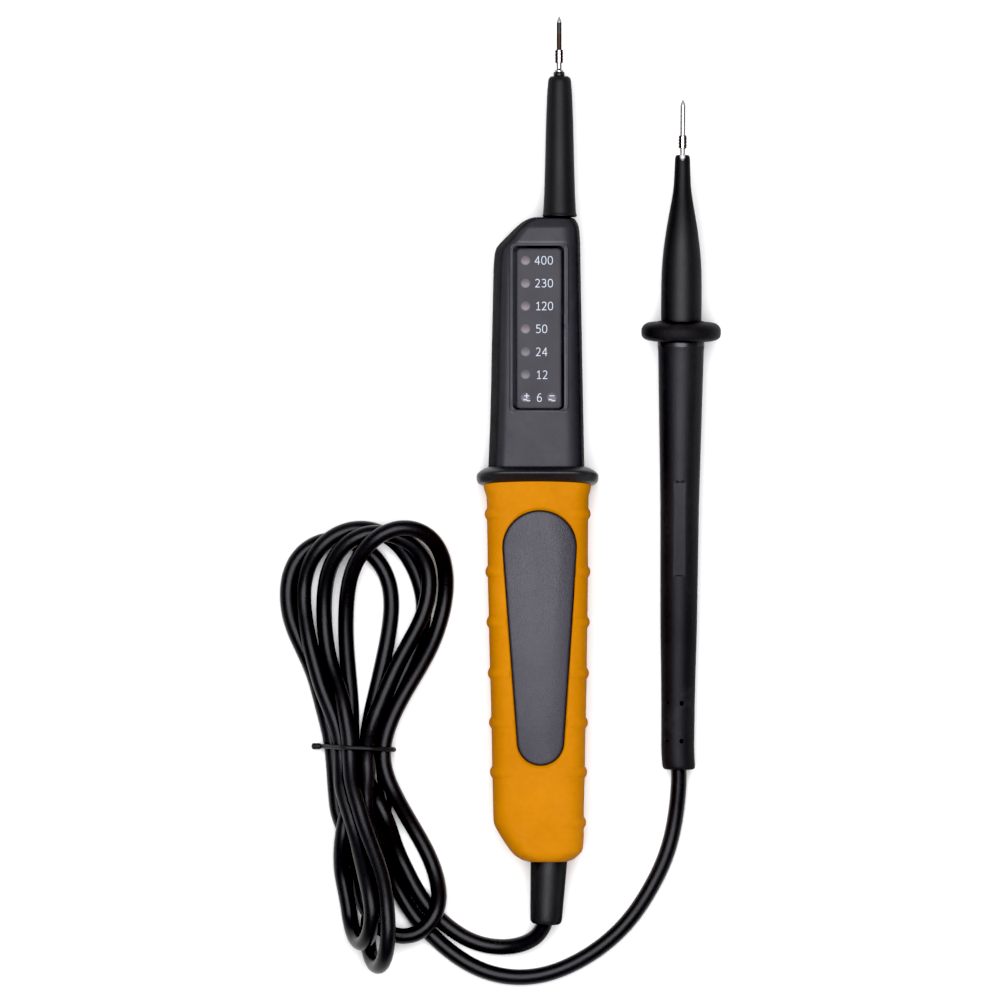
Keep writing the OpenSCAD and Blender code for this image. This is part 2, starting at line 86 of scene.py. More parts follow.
# Fourth upper loop, the front one
loop_d = [(352, 748, 2.3), (351.5, 730, 2.3), (351, 712, 2.4), (350, 695, 2.8), (348.5, 678, 3.6), (347, 660, 4.6),
          (345.6, 640, 5.4), (345.5, 620, 6.2), (346.5, 600, 7.4), (349, 582, 9.2), (354, 566, 11.6), (361.5, 552.5, 13.8),
          (371, 542, 15.2), (382, 533.5, 16), (392, 529, 16.2), (403, 527, 16), (415, 528.7, 15), (426, 534, 13.4),
          (435, 543.5, 11.2), (441.5, 556, 8.6), (445, 572, 6), (445.6, 588, 4.4), (443.5, 606, 3.8), (439, 623, 3.8),
          (432, 641, 4.2), (422.5, 659, 4.8), (412.5, 677, 5.4), (402.5, 695, 6), (393.5, 713, 6.5), (386.5, 731, 6.9)]
# Down to the right lower loop and back up on the left
low_right = [(382.5, 748, 7.0), (382.8, 762, 6.9), (385.5, 775, 6.6), (390, 787, 6.2), (397, 800, 5.4), (406, 816, 4.4),
             (417, 835, 3.4), (427, 853, 2.8), (433.5, 869, 2.8), (437, 884, 3.4), (438.3, 898, 5), (436.8, 911, 6.6),
             (431.5, 922, 6.9), (423.5, 930.5, 6.9), (414, 936, 6.9), (404, 937.8, 6.9), (394, 936, 6.9), (384, 930.5, 6.9),
             (374, 921, 6.8), (366, 907, 6.0), (361, 890, 4.4), (358.5, 872, 2.8), (355, 856, 2.3), (348.5, 839, 2.3),
             (342, 822, 2.3), (337.5, 804, 2.3), (334.8, 785, 2.3), (333.2, 766, 2.3)]
# First upper loop, the lowest one
loop_a = [(332.5, 748, 2.3), (330.5, 734, 2.3), (326.5, 718, 2.3), (321.5, 700, 2.3), (316, 680, 2.3), (308.5, 660, 2.3),
          (299.5, 640, 2.3), (291.5, 620, 2.3), (287.6, 600, 2.3), (288.2, 581, 2.3), (292, 567, 2.3), (298, 557, 2.3),
          (306, 549, 2.3), (315, 544, 2.3), (325, 541, 2.3), (338, 540, 2.3), (351, 542, 2.3), (364, 548.5, 2.3),
          (375.5, 558.5, 2.3), (384, 571, 2.3), (389.3, 586, 2.3), (391, 604, 2.3), (389.5, 624, 2.3), (386, 645, 2.3),
          (382, 664, 2.3), (378, 683, 2.3), (373.5, 703, 2.3), (369.5, 722, 2.3), (367, 737, 2.3)]
# Down the outer left, a turn that stands up, and back to the tie
low_left = [(366, 748, 2.3), (364.5, 757, 3.2), (360.5, 769, 5.0), (354.5, 783, 6.6), (348.5, 799, 7.0), (344.3, 817, 6.9),
            (342.8, 838, 5.4), (342.2, 858, 3.4), (343.2, 876, 2.4), (345.6, 893, 2.3), (348.6, 907, 2.3), (350.3, 924.5, 3.3),
            (354.6, 938.5, 6.6), (360.7, 944, 11.4), (366.8, 938.5, 16.4), (371.2, 924.5, 19.9), (372.6, 907, 21.0),
            (371.0, 890, 20.2), (367.6, 874, 18.3), (363.5, 858, 16.0), (359, 841, 13.8), (354, 824, 11.9),
            (348.9, 806, 10.1), (344.7, 788, 8.5), (341.8, 769, 7.0)]
# Second upper loop
loop_b = [(340.2, 748, 6.4), (338.0, 734, 6.5), (334.0, 720, 6.6), (328.5, 704, 6.6), (322.3, 686, 6.6), (316, 668, 6.4),
          (310, 650, 6.0), (305.5, 631, 5.2), (303, 612, 4.4), (302.6, 594, 4.2), (304.6, 577, 4.8), (309.6, 562, 5.8),
          (318, 549, 6.8), (329.5, 538.5, 7.2), (344, 531, 7.4), (359, 528, 7.4), (374, 530, 7.4), (388, 536.5, 6.8),
          (400.5, 547.5, 5.6), (410.5, 563, 4.0), (418.5, 580, 2.8), (423, 600, 2.3), (423, 621, 2.3), (417.5, 641, 2.3),
          (409, 661, 2.3), (400.5, 681, 2.3), (392.5, 701, 2.3), (386.5, 720, 2.3), (383.5, 735, 2.3)]
# Along the table under the others, a turn that stands up, and back over them
low_mid = [(382, 748, 2.3), (383, 764, 2.3), (384, 781, 2.3), (384, 797, 2.3), (381.5, 812, 2.3), (377.5, 828, 2.3),
           (374.5, 845, 2.3), (373, 862, 2.3), (372, 880, 2.3), (370.5, 900, 2.3), (368.2, 915, 2.3), (367, 928, 2.4),
           (368.0, 946.5, 3.7), (371.9, 961, 7.4), (377.6, 966.5, 12.75), (383.1, 961, 18.0), (386.9, 946.5, 21.9),
           (388.2, 928, 23.2), (386.6, 912, 22.8), (383.4, 895, 21.5), (379, 877, 19.8), (373.5, 859, 17.9), (367, 840, 16),
           (360.8, 821, 14.3), (355.6, 803, 12.9), (352, 785, 11.8), (350.3, 767, 10.9)]
# Third upper loop
loop_c = [(349.6, 748, 10.4), (348.2, 733, 10.2), (344.2, 718, 9.6), (339.2, 702, 8.6), (334.2, 684, 7.4), (330, 666, 6.2),
          (326.5, 646, 5.2), (324.2, 625, 4.8), (323.6, 604, 5.2), (325.4, 584, 6.4), (330.2, 566, 8.4), (338.5, 551.5, 10.2),
          (350.5, 540.5, 11.4), (364, 534, 11.8), (378, 532.5, 11.8), (392, 536, 11.4), (408, 541.5, 10.2), (420, 552.5, 8.6),
          (427, 568, 7.4), (428.5, 587, 6.9), (425.4, 606, 6.9), (419, 624, 6.9), (409, 642, 6.9), (399.5, 660, 6.9),
          (390.5, 678, 6.9), (382.5, 697, 6.9), (375, 716, 6.9), (369.5, 733, 6.9)]
# Down and away to the rear end of the second probe
arrive = [(366.4, 748, 7.2), (364.9, 762, 7.8), (364.4, 777, 8.6), (365.6, 793, 9.2), (368.6, 809, 8.8), (373, 824, 7.9),
          (378, 839, 6.9), (384, 856, 5.2), (391, 873, 3.3), (399.3, 892, 2.4), (408.5, 908, 2.3), (418.5, 921.5, 2.3),
          (427, 930.5, 2.3), (436, 939.5, 2.3), (446, 948.5, 2.3), (456.5, 956.5, 2.3), (471, 965.5, 2.3), (487, 972.3, 2.3),
          (504, 976.3, 2.3), (521, 977.5, 2.3), (538, 976, 2.3), (555, 971.5, 2.3), (571.5, 964.5, 2.3), (587.8, 955.5, 2.3),
          (603, 945, 2.3), (618, 931.8, 2.3), (631.5, 916.8, 2.3), (643.8, 899, 2.3), (654, 881, 2.3), (662, 865, 2.3), (668, 848.5, 2.35),
          (672.5, 831, 2.5), (675.6, 813, 2.9), (677.6, 795, 3.7), (678.5, 779, 4.4), (678.3, 769.4, 4.8), (677.8, 762, 5.2)]
route = leave + loop_d + low_right + loop_a + low_left + loop_b + low_mid + loop_c + arrive


def even(points, step):
    """Points at even distances along a polyline."""
    s = np.concatenate([[0], np.cumsum(np.linalg.norm(np.diff(points, axis=0), axis=1))])
    q = np.linspace(0, s[-1], int(round(s[-1] / step)) + 1)
    return np.stack([np.interp(q, s, points[:, k]) for k in range(3)], 1)


def through(points, step, fine=20):
    """A smooth line through the points, with points at even distances."""
    p = np.asarray(points, float)
    q = np.vstack([2 * p[0] - p[1], p, 2 * p[-1] - p[-2]])
    out = []
    for i in range(1, len(q) - 2):
        p0, p1, p2, p3 = q[i - 1], q[i], q[i + 1], q[i + 2]
        t1 = max(np.linalg.norm(p1 - p0), 1e-9) ** 0.5
        t2 = t1 + max(np.linalg.norm(p2 - p1), 1e-9) ** 0.5
        t3 = t2 + max(np.linalg.norm(p3 - p2), 1e-9) ** 0.5
        t = np.linspace(t1, t2, fine, endpoint=False)[:, None]
        a1 = (t1 - t) / t1 * p0 + t / t1 * p1
        a2 = (t2 - t) / (t2 - t1) * p1 + (t - t1) / (t2 - t1) * p2
        a3 = (t3 - t) / (t3 - t2) * p2 + (t - t2) / (t3 - t2) * p3
        b1 = (t2 - t) / t2 * a1 + t / t2 * a2
        b2 = (t3 - t) / (t3 - t1) * a2 + (t - t1) / (t3 - t1) * a3
        out.append((t2 - t) / (t2 - t1) * b1 + (t - t1) / (t2 - t1) * b2)
    out.append(p[-1:])
    return even(np.vstack(out), step)


def settle(x, d, step, rounds=320, tail=60, first=4, last=8):
    """Lets the strands come to rest: each keeps near its place and bends smoothly, none goes into another or the table."""
    x, target, n = x.copy(), x.copy(), len(x)
    skip = int(math.ceil(2.2 * d / step))
    ia, ja = np.triu_indices(n, skip + 1)
    for turn in range(rounds):
        if turn % 5 == 0:
            near = ((x[ia] - x[ja]) ** 2).sum(1) < (1.9 * d) ** 2
            i_, j_ = ia[near], ja[near]
        ending = turn >= rounds - tail
        x[:, :2] += (0.015 if ending else 0.05) * (target[:, :2] - x[:, :2])
        if not ending:
            # a turn that stands up carries itself, and the rest sinks
            up = np.clip((target[:, 2] - 8) / 4, 0, 1)
            x[:, 2] += (0.015 + 0.06 * up) * (target[:, 2] - x[:, 2]) - 0.015 * (1 - up)
        for _ in range(1 if ending else 3):
            bend = np.zeros_like(x)
            bend[1:-1] = (x[:-2] + x[2:]) / 2 - x[1:-1]
            turn_of = np.zeros_like(x)
            turn_of[2:-2] = (bend[1:-3] + bend[3:-1]) / 2 - bend[2:-2]
            x[2:-2] -= (0.2 if ending else 0.45) * turn_of[2:-2]
        for _ in range(2):
            # no bend is tighter than the cord can take
            bend = (x[:-2] + x[2:]) / 2 - x[1:-1]
            size = np.linalg.norm(bend, axis=1)
            excess = bend * np.clip(1 - step * step / 22.4 / np.maximum(size, 1e-9), 0, 1)[:, None]
            excess[:first], excess[-last:] = 0, 0
            x[1:-1] += 0.5 * excess
            x[:-2] -= 0.25 * excess
            x[2:] -= 0.25 * excess
        for _ in range(3):
            gap = x[i_] - x[j_]
            dist = np.sqrt((gap ** 2).sum(1))
            hit = dist < d
            if hit.any():
                i, j = i_[hit], j_[hit]
                push = (d - dist[hit])[:, None] * gap[hit] / np.maximum(dist[hit], 1e-6)[:, None] * 0.5
                total, count = np.zeros_like(x), np.zeros(n)
                np.add.at(total, i, push)
                np.add.at(total, j, -push)
                np.add.at(count, i, 1)
                np.add.at(count, j, 1)
                x += total / np.maximum(count, 1)[:, None] * 1.2
            x[:, 2] = np.maximum(x[:, 2], d / 2 + 0.02)
        x[:first], x[-last:] = target[:first], target[-last:]
        if turn % 10 == 9:
            s = np.concatenate([[0], np.cumsum(np.linalg.norm(np.diff(x, axis=0), axis=1))])
            q = np.linspace(0, s[-1], n)
            target = np.stack([np.interp(q, s, target[:, k]) for k in range(3)], 1)
            x = np.stack([np.interp(q, s, x[:, k]) for k in range(3)], 1)
    return x


STEP = 2.2
cord_line = through([mm(*p) for p in route], STEP)
cord_line = settle(cord_line, CORD_D * 1.03, STEP)
cord_line = through(cord_line[::2] if (len(cord_line) - 1) % 2 == 0 else np.vstack([cord_line[:-1:2], cord_line[-1:]]), 0.9, fine=6)


# ---------------------------------------------------------------- meshes
def build(name, verts, faces, angle=32.0, scale=MM):
    """A mesh object from points in millimetres, smooth except where it turns sharply."""
    me = bpy.data.meshes.new(name)
    me.from_pydata((np.asarray(verts, float) * scale).tolist(), [], [list(map(int, f)) for f in faces])
    me.validate()
    bm = bmesh.new()
    bm.from_mesh(me)
    bmesh.ops.remove_doubles(bm, verts=bm.verts, dist=1e-7)
    bmesh.ops.recalc_face_normals(bm, faces=bm.faces)
    bm.to_mesh(me)
    bm.free()
    me.shade_smooth()
    me.set_sharp_from_angle(angle=math.radians(angle))
    ob = bpy.data.objects.new(name, me)
    scene.collection.objects.link(ob)
    return ob


def loft(rings, close=(True, True), loop=False):
    """Points and faces of a skin over rings of equal length. close caps the two ends."""
    rings = np.asarray(rings, float)
    m, n = rings.shape[:2]
    verts = rings.reshape(-1, 3)
    faces = []
    last = m if loop else m - 1
    for i in range(last):
        a, b = i * n, ((i + 1) % m) * n
        for k in range(n):
            k2 = (k + 1) % n
            faces.append((a + k, a + k2, b + k2, b + k))
    if not loop:
        if close[0]:
            faces.append(list(range(n))[::-1])
        if close[1]:
            faces.append([(m - 1) * n + k for k in range(n)])
    return verts, faces


def frames_along(line):
    """Directions across a line that turn as little as they can: tangent, side, up at each point."""
    t = np.gradient(line, axis=0)
    t /= np.linalg.norm(t, axis=1)[:, None]
    side = np.zeros_like(t)
    s = np.cross(t[0], [0, 0, 1.0])
    side[0] = s / np.linalg.norm(s)
    for i in range(1, len(t)):
        s = side[i - 1] - np.dot(side[i - 1], t[i]) * t[i]
        side[i] = s / np.linalg.norm(s)
    return t, side, np.cross(side, t)


def tube_rings(line, radius, sides=20):
    """Rings of a tube along a line. radius is a number or one for each point."""
    t, u, v = frames_along(line)
    a = np.linspace(0, 2 * math.pi, sides, endpoint=False)
    r = np.broadcast_to(np.asarray(radius, float), (len(line),))[:, None, None]
    return line[:, None, :] + r * (np.cos(a)[None, :, None] * u[:, None, :] + np.sin(a)[None, :, None] * v[:, None, :])


def revolved(profile, sides=64, y_axis=True):
    """Rings of a body of revolution about the Y axis; profile is (y, radius) pairs in order."""
    a = np.linspace(0, 2 * math.pi, sides, endpoint=False)
    return np.stack([np.stack([r * np.cos(a), np.full(sides, y), r * np.sin(a)], 1) for y, r in profile])


def rounded(profile, radius, steps=5, keep=()):
    """A polyline (pairs) with each corner rounded. radius is a number or one for each corner."""
    p = [np.array(q, float) for q in profile]
    r = [radius] * len(p) if np.isscalar(radius) else list(radius)
    out = [p[0]]
    for i in range(1, len(p) - 1):
        a, b, c = p[i - 1], p[i], p[i + 1]
        u, v = a - b, c - b
        lu, lv = np.linalg.norm(u), np.linalg.norm(v)
        if lu < 1e-9 or lv < 1e-9 or r[i] <= 0:
            out.append(b)
            continue
        u, v = u / lu, v / lv
        cosang = np.clip(np.dot(u, v), -1, 1)
        half = math.acos(cosang) / 2
        if half > math.pi / 2 - 0.03:
            out.append(b)
            continue
        cut = min(r[i] / math.tan(half), 0.45 * lu, 0.45 * lv)
        rr = cut * math.tan(half)
        mid = (u + v) / np.linalg.norm(u + v)
        c0 = b + mid * (rr / math.sin(half))
        s0, s1 = b + u * cut - c0, b + v * cut - c0
        a0 = math.atan2(s0[1], s0[0])
        a1 = math.atan2(s1[1], s1[0])
        da = (a1 - a0 + math.pi) % (2 * math.pi) - math.pi
        for k in range(steps + 1):
            t = a0 + da * k / steps
            out.append(c0 + rr * np.array([math.cos(t), math.sin(t)]))
    out.append(p[-1])
    return out


def placed(ob, matrix):
    ob.data.transform(matrix)
    return ob


# ---------------------------------------------------------------- cord mesh
cord_rings = tube_rings(cord_line, CORD_R, 22)
cv, cf = loft(cord_rings)
cord = build("cord", cv, cf, 60)
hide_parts("cord_to_tester", "cord_hank", "cord_to_probe")
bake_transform(cord)

# ---------------------------------------------------------------- materials
def graph(mat):
    mat.use_nodes = True
    nt = mat.node_tree
    nt.nodes.clear()
    return nt


def node(nt, kind, at=(0, 0), **values):
    n = nt.nodes.new(kind)
    n.location = at
    for key, value in values.items():
        if key in n.inputs.keys():
            n.inputs[key].default_value = value
        else:
            setattr(n, key, value)
    return n


def surface(name, dark, light, rough=(0.4, 0.5), spec=0.5, metal=0.0, grain=(900.0, 0.05), wave=(60.0, 0.0), tone_scale=35.0,
            scuff=0.0, scratch=0.0, coat=0.0, stretch=(1.0, 1.0, 1.0), painted_glow=None, alpha=1.0, sheen=0.0, dust=0.0, side=None, painted_wall_shade=None, fade=None):
    """A procedural finish: colour drifts between two tones, roughness varies, fine grain and faint waves in the surface,
    rubbed patches, hair scratches and a little dust. Lengths in the object are metres."""
    mat = bpy.data.materials.new(name)
    nt = graph(mat)
    L = nt.links.new
    out = node(nt, "ShaderNodeOutputMaterial", (1200, 0))
    bsdf = node(nt, "ShaderNodeBsdfPrincipled", (900, 0))
    bsdf.inputs["Metallic"].default_value = metal
    bsdf.inputs["Specular IOR Level"].default_value = spec
    bsdf.inputs["Coat Weight"].default_value = coat
    bsdf.inputs["Coat Roughness"].default_value = 0.12
    bsdf.inputs["Sheen Weight"].default_value = sheen
    bsdf.inputs["Sheen Roughness"].default_value = 0.5
    bsdf.inputs["Alpha"].default_value = alpha
    coords = node(nt, "ShaderNodeTexCoord", (-1400, 0))
    if side is not None or painted_wall_shade is not None:
        # painted shade from facing: walls that stand up from the table get a weaker reflection than faces that lie
        # flat, and with the wall-shade setting a darker colour too
        stands = node(nt, "ShaderNodeSeparateXYZ", (-1200, -1300))
        L(coords.outputs["Normal"], stands.inputs["Vector"])
        lies = node(nt, "ShaderNodeMath", (-1000, -1300), operation="ABSOLUTE")
        L(stands.outputs["Z"], lies.inputs[0])
    if side is not None:
        painted_shade_spec = node(nt, "ShaderNodeMapRange", (-800, -1300), interpolation_type="SMOOTHSTEP")
        painted_shade_spec.inputs["From Min"].default_value = 0.42
        painted_shade_spec.inputs["From Max"].default_value = 0.96
        painted_shade_spec.inputs["To Min"].default_value = side
        painted_shade_spec.inputs["To Max"].default_value = spec
        L(lies.outputs[0], painted_shade_spec.inputs["Value"])
        shine = painted_shade_spec.outputs["Result"]
        if fade:
            # painted shade: the reflection weakens along the object's length, towards the end that fade points to
            spot = node(nt, "ShaderNodeSeparateXYZ", (-1000, -1600))
            L(coords.outputs["Object"], spot.inputs["Vector"])
            along = node(nt, "ShaderNodeMapRange", (-800, -1600), interpolation_type="SMOOTHSTEP")
            along.inputs["From Min"].default_value = fade[0]
            along.inputs["From Max"].default_value = fade[1]
            along.inputs["To Min"].default_value = 1.0
            along.inputs["To Max"].default_value = fade[2]
            L(spot.outputs["Y"], along.inputs["Value"])
            painted_fade_spec = node(nt, "ShaderNodeMath", (-600, -1500), operation="MULTIPLY")
            L(shine, painted_fade_spec.inputs[0])
            L(along.outputs["Result"], painted_fade_spec.inputs[1])
            shine = painted_fade_spec.outputs[0]
        L(shine, bsdf.inputs["Specular IOR Level"])
    if painted_glow:
        # painted glow and highlight: the domes give out light of their own, strongest and whitest on their low side
        painted_glow_colour = node(nt, "ShaderNodeMix", (700, -700), data_type="RGBA")
        painted_glow_colour.inputs[6].default_value = (*painted_glow[0], 1)
        painted_glow_colour.inputs[7].default_value = (0.94, 0.90, 1.0, 1)
        low_side = node(nt, "ShaderNodeSeparateXYZ", (300, -800))
        L(coords.outputs["Normal"], low_side.inputs["Vector"])
        painted_glow_strength = node(nt, "ShaderNodeMapRange", (500, -800), interpolation_type="SMOOTHSTEP")
        painted_glow_strength.inputs["From Min"].default_value = 0.70
        painted_glow_strength.inputs["From Max"].default_value = -0.85
        painted_glow_strength.inputs["To Min"].default_value = painted_glow[1]
        painted_glow_strength.inputs["To Max"].default_value = painted_glow[2]
        L(low_side.outputs["Y"], painted_glow_strength.inputs["Value"])
        white = node(nt, "ShaderNodeMapRange", (500, -1200), interpolation_type="SMOOTHSTEP")
        white.inputs["From Min"].default_value = 0.45
        white.inputs["From Max"].default_value = -0.70
        L(low_side.outputs["Y"], white.inputs["Value"])
        L(white.outputs["Result"], painted_glow_colour.inputs[0])
        L(painted_glow_colour.outputs[2], bsdf.inputs["Emission Color"])
        crest = node(nt, "ShaderNodeMapRange", (500, -1000), interpolation_type="SMOOTHSTEP")
        crest.inputs["From Min"].default_value = 0.05
        crest.inputs["From Max"].default_value = 0.80
        L(low_side.outputs["Z"], crest.inputs["Value"])
        faded = node(nt, "ShaderNodeMath", (700, -900), operation="MULTIPLY")
        L(painted_glow_strength.outputs["Result"], faded.inputs[0])
        L(crest.outputs["Result"], faded.inputs[1])
        L(faded.outputs[0], bsdf.inputs["Emission Strength"])
    mapping = node(nt, "ShaderNodeMapping", (-1200, 0))
    mapping.inputs["Scale"].default_value = stretch
    L(coords.outputs["Object"], mapping.inputs["Vector"])
    where = mapping.outputs["Vector"]
    # colour
    tone = node(nt, "ShaderNodeTexNoise", (-900, 300), Scale=tone_scale, Detail=4.0, Roughness=0.6)
    L(where, tone.inputs["Vector"])
    mottle = node(nt, "ShaderNodeTexNoise", (-900, 100), Scale=tone_scale * 14, Detail=3.0, Roughness=0.6)
    L(where, mottle.inputs["Vector"])
    both = node(nt, "ShaderNodeMath", (-700, 200), operation="MULTIPLY_ADD")
    both.inputs[1].default_value = 0.35
    L(mottle.outputs["Fac"], both.inputs[0])
    L(tone.outputs["Fac"], both.inputs[2])
    ramp = node(nt, "ShaderNodeMapRange", (-520, 200))
    ramp.inputs["From Min"].default_value = 0.42
    ramp.inputs["From Max"].default_value = 0.92
    L(both.outputs[0], ramp.inputs["Value"])
    colour = node(nt, "ShaderNodeMix", (-320, 200), data_type="RGBA")
    colour.inputs[6].default_value = (*dark, 1)
    colour.inputs[7].default_value = (*light, 1)
    L(ramp.outputs["Result"], colour.inputs[0])
    tint = colour.outputs[2]
    # roughness
    blotch = node(nt, "ShaderNodeTexNoise", (-900, -120), Scale=tone_scale * 2.3, Detail=5.0, Roughness=0.65)
    L(where, blotch.inputs["Vector"])
    rough_map = node(nt, "ShaderNodeMapRange", (-520, -100))
    rough_map.inputs["From Min"].default_value = 0.3
    rough_map.inputs["From Max"].default_value = 0.7
    rough_map.inputs["To Min"].default_value = rough[0]
    rough_map.inputs["To Max"].default_value = rough[1]
    L(blotch.outputs["Fac"], rough_map.inputs["Value"])
    roughness = rough_map.outputs["Result"]
    if scuff:
        # rubbed patches: lighter and smoother, broken up by a finer noise
        patch = node(nt, "ShaderNodeTexNoise", (-900, -500), Scale=tone_scale * 1.1, Detail=8.0, Roughness=0.75)
        L(where, patch.inputs["Vector"])
        lim = node(nt, "ShaderNodeMapRange", (-700, -500))
        lim.inputs["From Min"].default_value = 0.60
        lim.inputs["From Max"].default_value = 0.72
        L(patch.outputs["Fac"], lim.inputs["Value"])
        amount = node(nt, "ShaderNodeMath", (-520, -500), operation="MULTIPLY")
        amount.inputs[1].default_value = scuff
        L(lim.outputs["Result"], amount.inputs[0])
        worn = node(nt, "ShaderNodeMix", (-120, 200), data_type="RGBA")
        lighter = [min(1.0, c * 1.5 + 0.03) for c in light]
        worn.inputs[7].default_value = (*lighter, 1)
        L(amount.outputs[0], worn.inputs[0])
        L(tint, worn.inputs[6])
        tint = worn.outputs[2]
        less = node(nt, "ShaderNodeMath", (-320, -200), operation="MULTIPLY_ADD")
        less.inputs[1].default_value = -0.12
        L(amount.outputs[0], less.inputs[0])
        L(roughness, less.inputs[2])
        roughness = less.outputs[0]
    if dust:
        specks = node(nt, "ShaderNodeTexVoronoi", (-900, -760), Scale=tone_scale * 40)
        L(where, specks.inputs["Vector"])
        dot = node(nt, "ShaderNodeMapRange", (-700, -760))
        dot.inputs["From Min"].default_value = 0.10
        dot.inputs["From Max"].default_value = 0.04
        L(specks.outputs["Distance"], dot.inputs["Value"])
        few = node(nt, "ShaderNodeMath", (-520, -760), operation="MULTIPLY")
        few.inputs[1].default_value = dust
        L(dot.outputs["Result"], few.inputs[0])
        spotted = node(nt, "ShaderNodeMix", (60, 200), data_type="RGBA")
        spotted.inputs[7].default_value = (0.5, 0.5, 0.5, 1)
        L(few.outputs[0], spotted.inputs[0])
        L(tint, spotted.inputs[6])
        tint = spotted.outputs[2]
    if painted_wall_shade is not None:
        # painted shade: faces that stand up from the table are mixed towards near-black, walls more than flat faces
        shade_map = node(nt, "ShaderNodeMapRange", (-800, -1500), interpolation_type="SMOOTHSTEP")
        shade_map.inputs["From Min"].default_value = 0.25
        shade_map.inputs["From Max"].default_value = 0.90
        shade_map.inputs["To Min"].default_value = painted_wall_shade
        shade_map.inputs["To Max"].default_value = 1.0
        L(lies.outputs[0], shade_map.inputs["Value"])
        painted_shade = node(nt, "ShaderNodeMix", (130, 200), data_type="RGBA")
        painted_shade.inputs[6].default_value = (0.004, 0.004, 0.004, 1)
        L(shade_map.outputs["Result"], painted_shade.inputs[0])
        L(tint, painted_shade.inputs[7])
        tint = painted_shade.outputs[2]
    if painted_glow:
        # painted shade: the dome's colour is darkened where its surface turns away from the top
        rim = node(nt, "ShaderNodeMix", (200, 300), data_type="RGBA")
        rim.inputs[6].default_value = (0.03, 0.028, 0.034, 1)
        L(crest.outputs["Result"], rim.inputs[0])
        L(tint, rim.inputs[7])
        tint = rim.outputs[2]
    L(tint, bsdf.inputs["Base Color"])
    L(roughness, bsdf.inputs["Roughness"])
    # relief
    height = node(nt, "ShaderNodeTexNoise", (-300, -500), Scale=grain[0], Detail=3.0, Roughness=0.6)
    L(where, height.inputs["Vector"])
    relief = height.outputs["Fac"]
    if wave[1]:
        slow = node(nt, "ShaderNodeTexNoise", (-300, -700), Scale=wave[0], Detail=2.0, Roughness=0.5)
        L(where, slow.inputs["Vector"])
        add = node(nt, "ShaderNodeMath", (-100, -600), operation="MULTIPLY_ADD")
        add.inputs[1].default_value = wave[1]
        L(slow.outputs["Fac"], add.inputs[0])
        L(relief, add.inputs[2])
        relief = add.outputs[0]
    if scratch:
        lines = node(nt, "ShaderNodeMapping", (-700, -1000))
        lines.inputs["Rotation"].default_value = (0.0, 0.0, 0.5)
        lines.inputs["Scale"].default_value = (1.0, 0.04, 1.0)
        L(coords.outputs["Object"], lines.inputs["Vector"])
        hair = node(nt, "ShaderNodeTexNoise", (-520, -1000), Scale=1600.0, Detail=2.0, Roughness=0.5)
        L(lines.outputs["Vector"], hair.inputs["Vector"])
        thin = node(nt, "ShaderNodeMapRange", (-300, -1000))
        thin.inputs["From Min"].default_value = 0.66
        thin.inputs["From Max"].default_value = 0.74
        L(hair.outputs["Fac"], thin.inputs["Value"])
        sub = node(nt, "ShaderNodeMath", (60, -700), operation="MULTIPLY_ADD")
        sub.inputs[1].default_value = -scratch
        L(thin.outputs["Result"], sub.inputs[0])
        L(relief, sub.inputs[2])
        relief = sub.outputs[0]
    bump = node(nt, "ShaderNodeBump", (500, -400))
    bump.inputs["Strength"].default_value = grain[1]
    bump.inputs["Distance"].default_value = 0.0004
    L(relief, bump.inputs["Height"])
    L(bump.outputs["Normal"], bsdf.inputs["Normal"])
    L(bsdf.outputs["BSDF"], out.inputs["Surface"])
    return mat


M = {}
# In these finishes, side weakens the reflection of standing walls and fade weakens it along the length, both as painted
# shade. The wall-shade setting paints standing walls darker, and the glow setting paints light into the lamp domes.
M["housing"] = surface("housing_plastic", (0.016, 0.0155, 0.019), (0.024, 0.023, 0.028), (0.50, 0.60), 0.34, grain=(2600, 0.30),
                       wave=(120, 0.4), scuff=0.2, scratch=0.2, dust=0.05, side=0.015, painted_wall_shade=0.22)
# painted highlight: a lighter, glossier finish for the lip of the window frame
M["edge"] = surface("housing_rim_painted_highlight", (0.024, 0.024, 0.029), (0.034, 0.034, 0.040), (0.40, 0.48), 0.30, grain=(2600, 0.15), scuff=0.2, side=0.03)
M["guard"] = surface("guard_plastic", (0.009, 0.009, 0.010), (0.015, 0.015, 0.016), (0.36, 0.46), 0.28, grain=(2200, 0.2),
                     wave=(90, 0.5), scuff=0.2, dust=0.04)
M["grip"] = surface("grip_rubber", (0.395, 0.143, 0.0045), (0.472, 0.180, 0.0068), (0.70, 0.80), 0.10, grain=(3200, 0.40),
                    wave=(140, 0.5), tone_scale=45, scuff=0.08, dust=0.03)
M["panel"] = surface("panel_plastic", (0.021, 0.020, 0.026), (0.030, 0.028, 0.036), (0.35, 0.42), 0.355, fade=(-0.045, -0.088, 0.62), side=0.06, grain=(3600, 0.35),
                     scuff=0.08, dust=0.05)
M["window"] = surface("window_plastic", (0.015, 0.014, 0.018), (0.023, 0.021, 0.027), (0.34, 0.42), 0.24, grain=(700, 0.03),
                      alpha=0.58, scratch=0.15)
M["holder"] = surface("holder_plastic", (0.016, 0.015, 0.019), (0.024, 0.022, 0.027), (0.5, 0.6), 0.26, grain=(1800, 0.2))
M["light"] = surface("light_plastic", (0.36, 0.25, 0.29), (0.48, 0.36, 0.40), (0.25, 0.35), 0.5, grain=(900, 0.05), painted_glow=((1.0, 0.70, 0.86), 0.36, 1.05))
M["light_pale"] = surface("light_plastic_pale", (0.28, 0.27, 0.30), (0.38, 0.37, 0.40), (0.25, 0.35), 0.5, grain=(900, 0.05),
                          painted_glow=((0.90, 0.88, 1.0), 0.22, 0.85))
